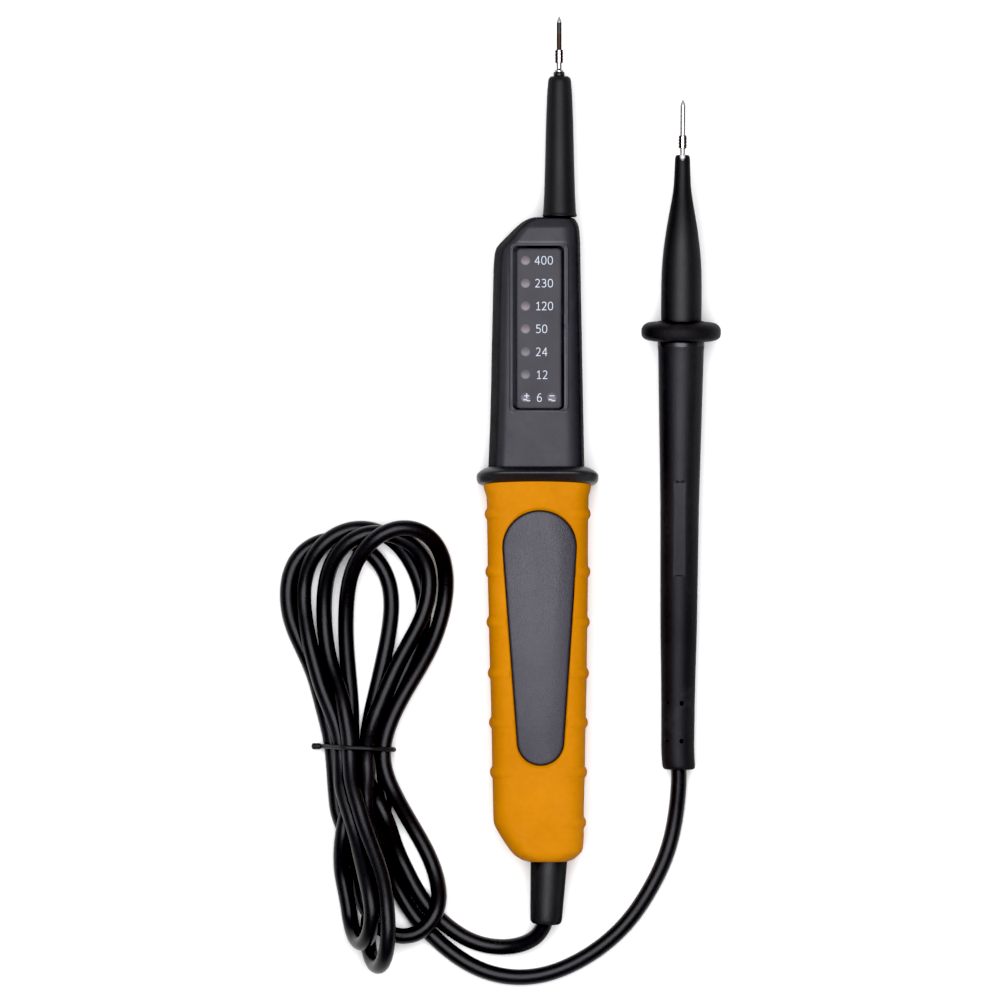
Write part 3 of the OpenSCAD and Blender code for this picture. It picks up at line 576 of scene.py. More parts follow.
M["print"] = surface("scale_print", (0.42, 0.47, 0.52), (0.52, 0.57, 0.62), (0.6, 0.7), 0.2, grain=(3000, 0.1))
M["black"] = surface("black_plastic", (0.005, 0.005, 0.006), (0.010, 0.010, 0.011), (0.34, 0.42), 0.26, grain=(2200, 0.12),
                     wave=(90, 0.5), scuff=0.2, scratch=0.15, dust=0.04)
M["probe"] = surface("probe_plastic", (0.007, 0.0068, 0.0072), (0.0115, 0.0112, 0.012), (0.42, 0.50), 0.195, fade=(0.020, -0.050, 0.50), grain=(2400, 0.2),
                     wave=(90, 0.5), scuff=0.2, scratch=0.2, dust=0.05, side=0.05)
# painted highlight: a lighter, glossier finish for the collar band of the probe handle
M["collar"] = surface("collar_painted_highlight", (0.009, 0.0088, 0.0092), (0.014, 0.0137, 0.0145), (0.24, 0.32), 0.33, grain=(2400, 0.1), scuff=0.15, side=0.05)
M["boot"] = surface("boot_rubber", (0.006, 0.006, 0.0062), (0.011, 0.011, 0.0115), (0.38, 0.48), 0.28, grain=(2400, 0.2), wave=(80, 0.6), scuff=0.15, dust=0.03, side=0.015, painted_wall_shade=0.4)
M["nose"] = surface("nose_plastic", (0.010, 0.0098, 0.010), (0.014, 0.0138, 0.014), (0.40, 0.50), 0.125, grain=(2200, 0.2),
                    wave=(90, 0.5), scuff=0.15, dust=0.03, side=0.05)
M["disc"] = surface("disc_plastic", (0.009, 0.0085, 0.009), (0.013, 0.0125, 0.013), (0.46, 0.56), 0.05, grain=(2200, 0.2),
                    wave=(90, 0.5), scuff=0.15, dust=0.03, side=0.05)
M["nose2"] = surface("probe_nose_plastic", (0.007, 0.0068, 0.007), (0.011, 0.0108, 0.011), (0.40, 0.50), 0.19, fade=(0.0639, 0.0784, 0.55), grain=(2200, 0.2),
                     wave=(90, 0.5), scuff=0.1, dust=0.03, side=0.05)
M["cord"] = surface("cord_sheath", (0.006, 0.0058, 0.006), (0.0095, 0.0093, 0.010), (0.25, 0.34), 0.14, grain=(1500, 0.12),
                    wave=(160, 0.8), scuff=0.15, dust=0.03)
M["tie"] = surface("tie_wire", (0.006, 0.006, 0.006), (0.011, 0.011, 0.011), (0.40, 0.55), 0.2, grain=(2500, 0.2))
M["steel"] = surface("tip_steel", (0.34, 0.32, 0.31), (0.48, 0.46, 0.45), (0.22, 0.34), 0.5, metal=1.0, grain=(3000, 0.08),
                     stretch=(1, 0.15, 1), scuff=0.3, scratch=0.2, painted_wall_shade=0.14)
M["ground"] = surface("tip_steel_ground", (0.34, 0.34, 0.34), (0.46, 0.46, 0.46), (0.42, 0.52), 0.4, metal=0.8, grain=(3000, 0.08), scuff=0.1, painted_wall_shade=0.45)
M["ball"] = surface("solder_bright", (0.60, 0.60, 0.61), (0.74, 0.74, 0.75), (0.35, 0.45), 0.4, metal=0.35, grain=(3000, 0.06), scuff=0.1)
# painted highlight: light steel colour for the flats down the middle of the threads
M["bright"] = surface("tip_steel_bright", (0.62, 0.60, 0.59), (0.78, 0.76, 0.75), (0.34, 0.44), 0.5, metal=1.0, grain=(3000, 0.08), scuff=0.2)
M["dulled"] = surface("tip_steel_dulled", (0.022, 0.022, 0.023), (0.042, 0.042, 0.044), (0.40, 0.55), 0.5, metal=1.0, grain=(3000, 0.10),
                      stretch=(1, 0.15, 1), scratch=0.2)
M["stained"] = surface("tip_steel_stained", (0.022, 0.0145, 0.0095), (0.044, 0.030, 0.021), (0.40, 0.55), 0.5, metal=1.0, grain=(3000, 0.10),
                       stretch=(1, 0.15, 1), scuff=0.2, scratch=0.2)
M["thread"] = surface("thread_metal", (0.026, 0.016, 0.013), (0.050, 0.033, 0.028), (0.22, 0.32), 0.5, metal=1.0, grain=(2600, 0.10), scuff=0.3, painted_wall_shade=0.4)
M["screw"] = surface("screw_steel", (0.40, 0.40, 0.41), (0.55, 0.55, 0.56), (0.28, 0.4), 0.5, metal=1.0, grain=(2600, 0.1), scuff=0.3)
M["brass"] = surface("brass_metal", (0.55, 0.40, 0.14), (0.70, 0.52, 0.22), (0.25, 0.4), 0.5, metal=1.0, grain=(2600, 0.1), scuff=0.2)
M["board"] = surface("board_green", (0.010, 0.070, 0.026), (0.020, 0.110, 0.040), (0.3, 0.45), 0.5, grain=(1500, 0.15))
M["component"] = surface("component_black", (0.010, 0.010, 0.010), (0.022, 0.022, 0.022), (0.4, 0.55), 0.4, grain=(2500, 0.2))
M["ceramic"] = surface("component_ceramic", (0.36, 0.22, 0.10), (0.48, 0.31, 0.15), (0.4, 0.55), 0.5, grain=(1800, 0.25))


def finish_piece(ob, mat, body="tester", replaced=()):
    ob.data.materials.clear()
    ob.data.materials.append(M[mat])
    if replaced:
        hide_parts(*replaced)
    if body:
        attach(ob, body)
    return ob


cord.data.materials.append(M["cord"])
CAD_LOOKS = {"housing": "housing", "grip": "grip", "panel": "panel", "window": "window", "light": "light", "holder": "holder",
             "steel": "steel", "brass": "brass", "board": "board", "component": "component", "ceramic": "ceramic",
             "screw": "screw", "boot": "boot", "cord": "cord", "tie": "tie"}
slot_of = {e["node"]: e["material_slot"] for e in frame["record"]["subparts"]}

# ---------------------------------------------------------------- display unit
TX = -17.75          # middle of the display unit, mm
PART = 11.5          # height of the parting line, mm


def table_at(table, y):
    """Values of a table of rows (y, a, b, ...) at y, between its rows."""
    t = np.array(sorted(table), float)
    return [np.interp(y, t[:, 0], t[:, k]) for k in range(1, t.shape[1])]


def ring_section(y, left, right, low, high, radii, crown=0.0, flat=20, side=5, arc=9, bulge=None, lean=None):
    """One ring in the plane Y = y: a rounded rectangle in X and Z, from the middle of its left side round over the front.
    radii: top left, top right, low right, low left. bulge(u) gives how far each point moves outward."""
    tl, tr, br, bl = radii
    mid = (low + bl + high - tl) / 2
    pts, out = [], []

    def line(a, b, n, normal):
        for k in range(n):
            t = k / n
            pts.append((a[0] + (b[0] - a[0]) * t, a[1] + (b[1] - a[1]) * t))
            out.append(normal)

    def corner(cx, cz, r, a0):
        for k in range(arc):
            t = math.radians(a0 - 90 * k / arc)
            pts.append((cx + r * math.cos(t), cz + r * math.sin(t)))
            out.append((math.cos(t), math.sin(t)))

    line((left, low + bl), (left, high - tl), side, (-1, 0))
    corner(left + tl, high - tl, tl, 180)
    line((left + tl, high), (right - tr, high), flat, (0, 1))
    corner(right - tr, high - tr, tr, 90)
    line((right, high - tr), (right, low + br), side, (1, 0))
    corner(right - br, low + br, br, 0)
    line((right - br, low), (left + bl, low), flat, (0, -1))
    corner(left + bl, low + bl, bl, -90)
    p, o = np.array(pts, float), np.array(out, float)
    if crown:
        w = (right - left) / 2
        c = (right + left) / 2
        top = p[:, 1] > (low + high) / 2
        p[top, 1] -= crown * ((p[top, 0] - c) / w) ** 2
    if lean is not None:
        # the sides lean inward over and under the parting line
        c = (right + left) / 2
        up = np.clip((p[:, 1] - PART) / (high - PART), 0, 1)
        down = np.clip((PART - p[:, 1]) / (PART - low), 0, 1)
        by = np.where(p[:, 0] < c, lean[0], -lean[1])
        weight = np.clip(np.abs(p[:, 0] - c) / ((right - left) / 2), 0, 1) ** 0.7
        p[:, 0] += by * (up ** 1.25 + 0.6 * down ** 1.25) * weight
    if bulge is not None:
        p += o * bulge(p, y)[:, None]
    return np.stack([p[:, 0] + TX, np.full(len(p), y), p[:, 1]], 1)


def split_low(ring, z, gap):
    """The part of a ring over or under a plane, as a ring of the same number of points."""
    r = ring.copy()
    if gap > 0:
        r[:, 2] = np.maximum(r[:, 2], z + gap)
    else:
        r[:, 2] = np.minimum(r[:, 2], z + gap)
    return r


def boolean(ob, cutter, keep=False, kind="DIFFERENCE"):
    mod = ob.modifiers.new("cut", "BOOLEAN")
    mod.operation = kind
    mod.solver = "EXACT"
    mod.object = cutter
    dg = bpy.context.evaluated_depsgraph_get()
    me = bpy.data.meshes.new_from_object(ob.evaluated_get(dg))
    ob.modifiers.clear()
    old = ob.data
    ob.data = me
    me.name = ob.name
    bpy.data.meshes.remove(old)
    if not keep:
        bpy.data.objects.remove(cutter)
    return ob


def soften(ob, width, angle=35.0, segments=2):
    """Rounds the edges that turn more sharply than the angle."""
    mod = ob.modifiers.new("soft", "BEVEL")
    mod.width = width * MM
    mod.segments = segments
    mod.limit_method = "ANGLE"
    mod.angle_limit = math.radians(angle)
    mod.use_clamp_overlap = True
    mod.harden_normals = False
    dg = bpy.context.evaluated_depsgraph_get()
    me = bpy.data.meshes.new_from_object(ob.evaluated_get(dg))
    ob.modifiers.clear()
    old = ob.data
    ob.data = me
    me.name = ob.name
    bpy.data.meshes.remove(old)
    return ob


def shade(ob, angle=32.0):
    ob.data.shade_smooth()
    ob.data.set_sharp_from_angle(angle=math.radians(angle))
    return ob


def slab(outline, levels):
    """Rings for a plate: outline is a closed list of (x, y) points; levels are (z, inset) pairs from below to above."""
    p = np.array(outline, float)
    a, b = np.roll(p, 1, 0), np.roll(p, -1, 0)
    t = b - a
    t /= np.linalg.norm(t, axis=1)[:, None]
    inward = np.stack([-t[:, 1], t[:, 0]], 1)
    area = 0.5 * np.sum(p[:, 0] * np.roll(p[:, 1], -1) - np.roll(p[:, 0], -1) * p[:, 1])
    if area < 0:
        inward = -inward
    return np.stack([np.column_stack([p + inward * i, np.full(len(p), z)]) for z, i in levels])


def rounded_rect(cx, cy, w, h, r, arc=8, straight=6):
    pts = []
    for k, (sx, sy) in enumerate([(1, 1), (-1, 1), (-1, -1), (1, -1)]):
        ox, oy = cx + sx * (w / 2 - r), cy + sy * (h / 2 - r)
        for j in range(arc + 1):
            t = math.radians(90 * k + 90 * j / arc)
            pts.append((ox + r * math.cos(t), oy + r * math.sin(t)))
        nx, ny = [(-1, 1), (-1, -1), (1, -1), (1, 1)][k]
        ex, ey = cx + nx * (w / 2 - r), cy + ny * (h / 2 - r)
        end = (ex + r * math.cos(math.radians(90 * (k + 1))), ey + r * math.sin(math.radians(90 * (k + 1))))
        last = pts[-1]
        for j in range(1, straight):
            pts.append((last[0] + (end[0] - last[0]) * j / straight, last[1] + (end[1] - last[1]) * j / straight))
    return pts


# Head: Y, left edge, right edge, from the middle line
HEAD = [(0.6, -14.33, 13.54), (13.2, -13.82, 13.30), (24.8, -13.52, 13.06), (36.4, -13.31, 12.86), (48.0, -13.05, 12.64),
        (58.5, -12.82, 12.44), (61.3, -12.62, 12.41), (63.0, -12.45, 12.38), (64.4, -12.0, 12.36), (65.6, -11.08, 12.33),
        (67.0, -9.75, 12.27), (69.0, -7.75, 12.15), (70.6, -6.12, 11.92), (71.5, -5.1, 11.62), (72.2, -4.1, 11.25),
        (72.8, -2.95, 10.80), (73.1, -2.1, 10.3), (73.3, -1.2, 9.6)]
HEAD_LOW, HEAD_HIGH = 0.9, 22.1


def head_ring(y):
    left, right = table_at(HEAD, y)
    e = 73.3 - y
    drop = 0.0
    if e < 3.3:
        drop = 0.74 * (3.3 - e) - 0.30 * (1 - math.exp(-(3.3 - e) / 0.45))
        if e < 0.9:
            drop += 0.9 - math.sqrt(max(0.0, 0.81 - (0.9 - e) ** 2))
    foot = 0.5 - math.sqrt(max(0.0, 0.25 - max(0.0, 0.5 - (y - 0.6)) ** 2)) if y < 1.1 else 0.0
    high, low = HEAD_HIGH - drop - foot * 0.7, HEAD_LOW + drop * 0.8 + foot * 0.5
    wide = right - left
    tl, tr = min(2.6, wide * 0.25), min(4.6, wide * 0.3)
    grow = min(1.0, max(0.0, (73.3 - y) / 6.0))
    ring = ring_section(y, left, right, low, high, (tl, tr, 3.0, 3.0), crown=0.3, flat=18, side=6, lean=(2.9 * (0.35 + 0.65 * grow), 1.2))
    return ring


head_y = np.unique(np.concatenate([np.linspace(0.6, 2.4, 8), np.linspace(2.4, 58, 40), np.linspace(58, 68, 26), np.linspace(68, 73.3, 26)]))
head_rings = [head_ring(y) for y in head_y]
half_front = np.stack([split_low(r, PART, 0.12) for r in head_rings])
half_back = np.stack([split_low(r, PART, -0.12) for r in head_rings])
# the handle core that runs on inside the grip
CORE = [(-110.8, -2.4, 7.6), (-109.6, -5.3, 9.8), (-107.5, -6.9, 11.0), (-102.2, -10.3, 11.2), (-100.8, -10.7, 11.25), (-8.2, -12.4, 12.5),
        (1.2, -12.4, 12.5)]


def core_ring(y):
    left, right = table_at(CORE, y)
    return ring_section(y, left, right, 2.2, 21.3, (3, 3, 3, 3), flat=6, side=3, arc=5)


core_y = np.unique(np.concatenate([np.linspace(-110.8, -100, 12), np.linspace(-100, 1.2, 12)]))
core_rings = [core_ring(y) for y in core_y]
core_front = np.stack([split_low(r, PART, 0.12) for r in core_rings])
core_back = np.stack([split_low(r, PART, -0.12) for r in core_rings])


def two_lofts(name, a, b):
    va, fa = loft(a)
    vb, fb = loft(b)
    return build(name, np.vstack([va, vb]), fa + [[i + len(va) for i in f] for f in fb])


WIN = (0.44, 41.25)          # middle of the window frame, from the middle line
LENS = (0.35, 41.05)
front = two_lofts("head_front", half_front, core_front)
rim_out = rounded_rect(TX + WIN[0] - 0.18, WIN[1], 17.0, 49.0, 2.0)
rim = build("rim", *loft(slab(rim_out, [(20.6, 0.0), (21.95, 0.0), (22.12, 0.05), (22.22, 0.17), (22.24, 0.3), (22.2, 0.45), (22.05, 0.56), (20.6, 0.6)]), loop=True))
boolean(front, rim, kind="UNION")
wide, narrow = rounded_rect(TX + WIN[0] - 0.28, WIN[1], 15.2, 47.5, 1.5), rounded_rect(TX + LENS[0], LENS[1], 13.2, 46.6, 1.25)
cut = build("cut_frame", *loft(np.stack([np.column_stack([np.array(narrow), np.full(len(narrow), 20.45)]),
                                         np.column_stack([np.array(wide), np.full(len(wide), 22.05)]),
                                         np.column_stack([np.array(wide), np.full(len(wide), 30.0)])])))
boolean(front, cut)
cut = build("cut_window", *loft(slab(rounded_rect(TX + LENS[0], LENS[1], 13.1, 46.5, 1.25), [(12.4, 0), (30, 0)])))
boolean(front, cut)
soften(front, 0.12, 45, 2)
shade(front, 30)
finish_piece(front, "housing", replaced=("front_shell",))
# painted highlight: the faces of the window frame's lip get the lighter, glossier finish
front.data.materials.append(M["edge"])
for face in front.data.polygons:
    fx, fy, fz = face.center / MM
    dx, dy = abs(fx - TX - WIN[0]) - 7.5, abs(fy - WIN[1]) - 24.2
    if fz > 21.55 and max(dx, dy) > -0.1 and max(dx, dy) < 0.75:
        face.material_index = 1

back = two_lofts("head_back", half_back, core_back)
for sx, sy in [(-4.5, 66.6), (0, 10.5)]:
    hole = build("cut_screw", *loft(np.stack([np.stack([TX + sx + 2.35 * np.cos(np.linspace(0, 2 * math.pi, 40, endpoint=False)),
                                                       sy + 2.35 * np.sin(np.linspace(0, 2 * math.pi, 40, endpoint=False)),
                                                       np.full(40, z)], 1) for z in (-2.0, 4.2)])))
    boolean(back, hole)
soften(back, 0.18, 40, 2)
shade(back, 30)
finish_piece(back, "housing", replaced=("back_shell",))

# Window and what is seen through it
lens_out = rounded_rect(TX + LENS[0], LENS[1], 13.0, 46.4, 1.2)
lens = build("window", *loft(slab(lens_out, [(19.25, 0.0), (21.25, 0.0), (21.42, 0.07), (21.5, 0.25), (21.5, 1.0)])), angle=25)
finish_piece(lens, "window", replaced=("display_lens",))


def strip(points, width, z, depth=0.05, closed=False):
    """A thin flat line, as a solid, along points in millimetres from the middle line."""
    q = np.array(points, float)
    t = (np.roll(q, -1, 0) - np.roll(q, 1, 0)) if closed else np.gradient(q, axis=0)
    t /= np.linalg.norm(t, axis=1)[:, None]
    n = np.stack([-t[:, 1], t[:, 0]], 1) * width / 2
    rings = np.stack([np.stack([np.array([TX + a[0] + s * b[0], a[1] + s * b[1], z + h]) for s, h in ((-1, 0), (1, 0), (1, depth), (-1, depth))])
                      for a, b in zip(q, n)])
    return loft(rings, loop=closed)


def curve(points, fine=9):
    """A smooth line through a few points of the plane."""
    q = np.array([(a, b, 0.0) for a, b in points])
    length = np.linalg.norm(np.diff(q, axis=0), axis=1).sum()
    return through(q, length / (fine * len(points)), 8)[:, :2]


def oval(cx, cy, rx, ry, power=2.4, n=40):
    t = np.linspace(0, 2 * math.pi, n, endpoint=False)
    c, s_ = np.cos(t), np.sin(t)
    return np.stack([cx + rx * np.sign(c) * np.abs(c) ** (2 / power), cy + ry * np.sign(s_) * np.abs(s_) ** (2 / power)], 1)


# Strokes of the figures in a box one wide and one high: "c" curves, "l" straight lines, "o" ovals
FIGURE = {
    "0": [("o", (0.5, 0.5, 0.5, 0.5))],
    "1": [("l", [(0.56, -0.03), (0.56, 1.05)]), ("l", [(0.12, 0.80), (0.60, 0.985)]), ("l", [(0.08, 0.0), (1.0, 0.0)])],
    "2": [("c", [(0.03, 0.86), (0.22, 0.97), (0.50, 1.0), (0.80, 0.92), (0.88, 0.72), (0.76, 0.52), (0.48, 0.28), (0.06, 0.0)]),
          ("l", [(-0.06, 0.0), (1.0, 0.0)])],
    "3": [("c", [(0.04, 0.90), (0.25, 0.98), (0.52, 1.0), (0.80, 0.91), (0.86, 0.75), (0.74, 0.59), (0.36, 0.53)]),
          ("c", [(0.36, 0.53), (0.74, 0.48), (0.93, 0.31), (0.84, 0.10), (0.52, 0.0), (0.22, 0.02), (0.0, 0.09)])],
    "4": [("l", [(0.76, -0.06), (0.76, 1.05)]), ("l", [(0.76, 1.0), (-0.02, 0.30)]), ("l", [(-0.08, 0.27), (1.08, 0.27)])],
    "5": [("l", [(0.94, 1.0), (0.08, 1.0)]), ("l", [(0.14, 1.05), (0.14, 0.53)]),
          ("c", [(0.14, 0.56), (0.38, 0.61), (0.66, 0.59), (0.90, 0.46), (0.95, 0.29), (0.84, 0.09), (0.52, 0.0), (0.22, 0.01), (0.0, 0.08)])],
    "6": [("c", [(0.88, 0.97), (0.62, 1.0), (0.34, 0.90), (0.12, 0.64), (0.05, 0.36), (0.14, 0.12), (0.36, 0.01)]),
          ("o", (0.51, 0.295, 0.46, 0.295))],
}
STROKE = 0.215
FIG_W, FIG_H = 1.27, 2.24


def figure(ch, x, y, z):
    """Strokes of one figure; x is its left edge, y its middle."""
    out = []
    for k, (kind, data) in enumerate(FIGURE[ch]):
        if kind == "o":
            cx, cy, rx, ry = data
            line, closed = oval(cx, cy, rx, ry), True
        elif kind == "c":
            line, closed = curve(data), False
        else:
            line, closed = np.linspace(data[0], data[1], 4), False
        line = np.asarray(line) * [FIG_W, FIG_H] + [x + STROKE / 2, y - FIG_H / 2]
        out.append(strip(line, STROKE, z, 0.05 + 0.003 * k, closed))
    return out


ROW_Y = [(470.4 - py) * PX for py in (260.8, 283.6, 306.4, 329.2, 352.1, 375.0, 397.8)]
CELLS = [(534.3, 540.75, 547.2), (534.6, 540.95, 547.3), (535.1, 541.2, 547.4), (535.3, 541.6), (535.3, 541.7), (535.8, 542.1), (536.3,)]
marks = []
for text, cells, y in zip(("400", "230", "120", "50", "24", "12", "6"), CELLS, ROW_Y):
    for ch, px in zip(text, cells):
        marks += figure(ch, (px - 598.5) * PX - TX, y, 21.5)
for cx, sign in (((526.3 - 598.5) * PX - TX, "+"), ((551.4 - 598.5) * PX - TX, "-")):
    cy = (470.4 - 396.0) * PX
    marks.append(strip([(cx - 0.72, cy), (cx, cy), (cx + 0.72, cy)], 0.26, 21.5))
    if sign == "+":
        marks.append(strip([(cx, cy - 0.72), (cx, cy), (cx, cy + 0.72)], 0.26, 21.5, 0.053))
    t = np.linspace(-1, 1, 15)
    marks.append(strip(np.stack([cx + 0.98 * t, cy - 1.28 - 0.24 * np.sin(t * math.pi)], 1), 0.26, 21.5, 0.056))
mv, mf, off = [], [], 0
for v_, f_ in marks:
    mv.append(v_)
    mf += [[a + off for a in f] for f in f_]
    off += len(v_)
printed = build("scale_print", np.vstack(mv), mf, angle=30)
finish_piece(printed, "print")

# Lamps: clear domes in the holder's bores
DOME = [(0.35, 12.7), (1.42, 12.7), (1.5, 12.8), (1.5, 17.1), (1.47, 17.5), (1.36, 17.95), (1.16, 18.35), (0.88, 18.67), (0.54, 18.87), (0.2, 18.95)]
LAMPS = [(-3.55, 60.8 - 6.6 * k) for k in range(7)] + [(4.05, 21.2)]
ring_t = np.linspace(0, 2 * math.pi, 40, endpoint=False)
mv, mf, off, which = [], [], 0, []
for k, (lx, ly) in enumerate(LAMPS):
    v_, f_ = loft(np.stack([np.stack([TX + lx + r * np.cos(ring_t), ly + r * np.sin(ring_t), np.full(40, z)], 1) for r, z in DOME]))
    mv.append(v_)
    mf += [[a + off for a in f] for f in f_]
    off += len(v_)
lamps = build("lamp_domes", np.vstack(mv), mf, angle=60)
finish_piece(lamps, "light", replaced=("leds",))
lamps.data.materials.append(M["light_pale"])
for face in lamps.data.polygons:
    if face.center.y < (LAMPS[3][1] - 3.3) * MM:
        face.material_index = 1

# Finger guard
GUARD = [(1.15, 4.3, 4.2), (0.95, 3.5, 3.0), (0.72, 2.75, 2.05), (0.45, 2.1, 1.2), (0.15, 1.55, 0.62), (-0.15, 1.15, 0.25), (-0.42, 0.82, 0.06),
         (-0.65, 0.55, 0.0), (-0.9, 0.3, 0.04), (-1.25, 0.1, 0.28), (-1.7, 0.0, 0.75), (-2.2, 0.03, 1.25), (-2.65, 0.15, 1.75),
         (-2.95, 0.28, 2.15), (-3.2, 0.45, 2.6), (-3.4, 0.65, 3.15), (-3.6, 0.9, 3.75), (-3.8, 1.25, 4.3), (-4.0, 1.75, 5.0), (-4.15, 2.5, 5.6)]


def guard_ring(y, side_in, top_in):
    ring = ring_section(y, -17.75 + side_in, 17.6 - side_in, 0.0 + min(side_in * 0.35, 0.9), 26.5 - top_in,
                        (7.5 - side_in * 0.3, 7.5 - side_in * 0.3, 3.0, 3.0), crown=0.25, flat=18, side=5, arc=12)
    # the lower edge bows down towards both sides
    ring[:, 1] -= 0.45 * min(1.0, max(0.0, (-1.6 - y) / 1.6)) * ((ring[:, 0] - TX) / 17.6) ** 2
    return ring


guard = build("finger_guard_rim", *loft(np.stack([guard_ring(*g) for g in GUARD])), angle=40)
finish_piece(guard, "guard", replaced=("finger_guard",))

# Grip: Y, left edge, right edge
GRIP_PX = [(479.0, 485.0, 588.9), (482.5, 483.6, 590.1), (484.6, 483.0, 590.7), (487.0, 483.2, 590.5), (490.0, 483.8, 589.9), (494.0, 485.3, 588.6), (497.0, 486.1, 588.1),
           (506.0, 486.5, 587.8), (524.0, 486.7, 587.5), (548.0, 487.1, 587.4), (584.0, 487.5, 587.4), (608.0, 488.2, 587.1),
           (644.0, 488.9, 586.5), (668.0, 489.6, 586.2), (704.0, 490.6, 585.6), (728.0, 491.1, 584.9), (764.0, 491.7, 584.4),
           (788.0, 492.3, 583.8), (812.0, 492.8, 583.3), (819.0, 493.0, 583.2), (823.0, 493.6, 583.2), (827.0, 495.2, 583.25),
           (836.0, 500.4, 583.3), (842.0, 504.3, 582.9), (848.0, 508.4, 582.4), (852.0, 511.6, 580.6), (855.0, 514.6, 577.4),
           (857.5, 518.2, 574.8), (859.4, 521.8, 571.6), (860.7, 525.8, 567.8), (861.4, 530.5, 562.5)]
GRIP = [((470.4 - py) * PX, (a - 598.5) * PX - TX, (b - 598.5) * PX - TX) for py, a, b in GRIP_PX]
RIBS = [(470.4 - py) * PX for py in (514.0, 571.6, 622.0, 673.0, 722.4, 771.8, 822.0)]
GRIP_END = GRIP[-1][0]


def rib_bulge(p, y):
    left, right = table_at(GRIP, y)
    amount = np.zeros(len(p))
    for k, ry in enumerate(RIBS):
        d = abs(y - ry) / 1.75
        if d >= 1:
            continue
        tall = 0.68 * (1 - d ** 2.4) ** 1.5
        # full height on the side, fading out over the front and back
        from_left, from_right = p[:, 0] - left, right - p[:, 0]
        reach_in = np.minimum(from_left, from_right)
        fade = np.clip((7.6 - reach_in) / 3.0, 0, 1)
        fade = fade * fade * (3 - 2 * fade) * (1 - 0.48 * np.clip((reach_in - 0.6) / 2.6, 0, 1))
        if k == len(RIBS) - 1:
            fade = np.where(from_left < from_right, 0, fade)
        amount += tall * fade * np.where(np.minimum(from_left, from_right) < 0.2, 1.0, 0.9)
    return amount


def grip_ring(y):
    left, right = table_at(GRIP, y)
    e = y - GRIP_END
    big = 3.2
    drop = big - math.sqrt(max(0.0, big * big - (big - e) ** 2)) if e < big else 0.0
    lip = max(0.0, 1 - (-3.2 - y) / 3.6) if y > -6.8 else 0.0
    high = 23.45 - drop * 0.9 + 0.35 * lip * lip
    low = 0.0 + drop * 0.7
    width = right - left
    r = min(5.6, width * 0.35)
    ring = ring_section(y, left, right, low, high, (r, r, min(4.6, width * 0.3), min(4.6, width * 0.3)), crown=0.75, flat=22, side=6, arc=10,
                        bulge=rib_bulge)
    ring[:, 2] = np.maximum(ring[:, 2], 0.02)
    return ring


grip_y = np.concatenate([[GRIP_END, GRIP_END + 0.12, GRIP_END + 0.3, GRIP_END + 0.6], np.arange(GRIP_END + 1.0, -3.2, 0.45), [-3.1, -2.9]])
for ry in RIBS:
    grip_y = np.concatenate([grip_y, np.linspace(ry - 1.75, ry + 1.75, 15)])
grip_y = np.unique(np.round(grip_y, 3))
grip_y = grip_y[np.concatenate([[True], np.diff(grip_y) > 0.08])]
grip = build("grip_cover", *loft(np.stack([grip_ring(y) for y in grip_y])), angle=50)


def panel_outline(grow=0.0, n=48):
    r1, r2, y1, y2, x1, x2 = 10.7 + grow, 6.7 + grow, -22.4, -78.6, 0.6, 0.8
    a = math.asin((r1 - r2) / (y1 - y2))
    pts = []
    for k in range(n + 1):
        t = -a + k * (math.pi + 2 * a) / n
        pts.append((TX + x1 + r1 * math.cos(t), y1 + r1 * math.sin(t)))
    low = []
    for k in range(n * 2 // 3 + 1):
        t = math.pi + a + k * (math.pi - 2 * a) / (n * 2 // 3)
        low.append((TX + x2 + r2 * math.cos(t), y2 + r2 * math.sin(t)))

    def side(p, q, m=40):
        return [(p[0] + (q[0] - p[0]) * j / m, p[1] + (q[1] - p[1]) * j / m) for j in range(1, m)]

    return pts + side(pts[-1], low[0]) + low + side(low[-1], pts[0])


cut = build("cut_panel", *loft(slab(panel_outline(0.12), [(20.9, 0.0), (22.3, 0.0), (22.7, -0.05), (22.95, -0.16), (23.15, -0.36), (23.3, -0.7), (26, -3.0)])))
boolean(grip, cut)
hole_axis = np.array([0, -1, 0.0])
ring_a = np.linspace(0, 2 * math.pi, 48, endpoint=False)
cut = build("cut_boot", *loft(np.stack([np.stack([TX + 3.2 + r * np.cos(ring_a), np.full(48, y), 11.75 + r * np.sin(ring_a)], 1)
                                        for y, r in ((-116, 6.3), (-113.2, 5.75), (-112.4, 5.5), (-109, 5.5))])))
boolean(grip, cut)
shade(grip, 42)
finish_piece(grip, "grip", replaced=("grip_sleeve",))

# Panel on the front of the handle, slightly domed
po = panel_outline(-0.02)
pr = slab(po, [(20.6, 0.0), (22.1, 0.0), (22.3, 0.05), (22.46, 0.17), (22.56, 0.36), (22.6, 0.7), (22.6, 1.2), (22.6, 2.0), (22.6, 3.0), (22.6, 4.2), (22.6, 5.6)])
# domed across, and the right-hand side falls away further than the left
across = pr[:, :, 0] - (TX + 1.6)
pr[:, :, 2] += np.where(pr[:, :, 2] > 21.5, 0.95 * (1 - (across / 11.0) ** 2) - 1.3 * np.clip((across - 0.5) / 9.2, 0, 1.2) ** 1.8, 0)
panel = build("front_panel", *loft(pr), angle=28)
finish_piece(panel, "panel", replaced=("label_panel",))

# Nose
NX, NZ = -11.55, 11.5


def about_nose(profile, sides=72):
    r = revolved(profile, sides)
    return r + np.array([NX, 0, NZ])


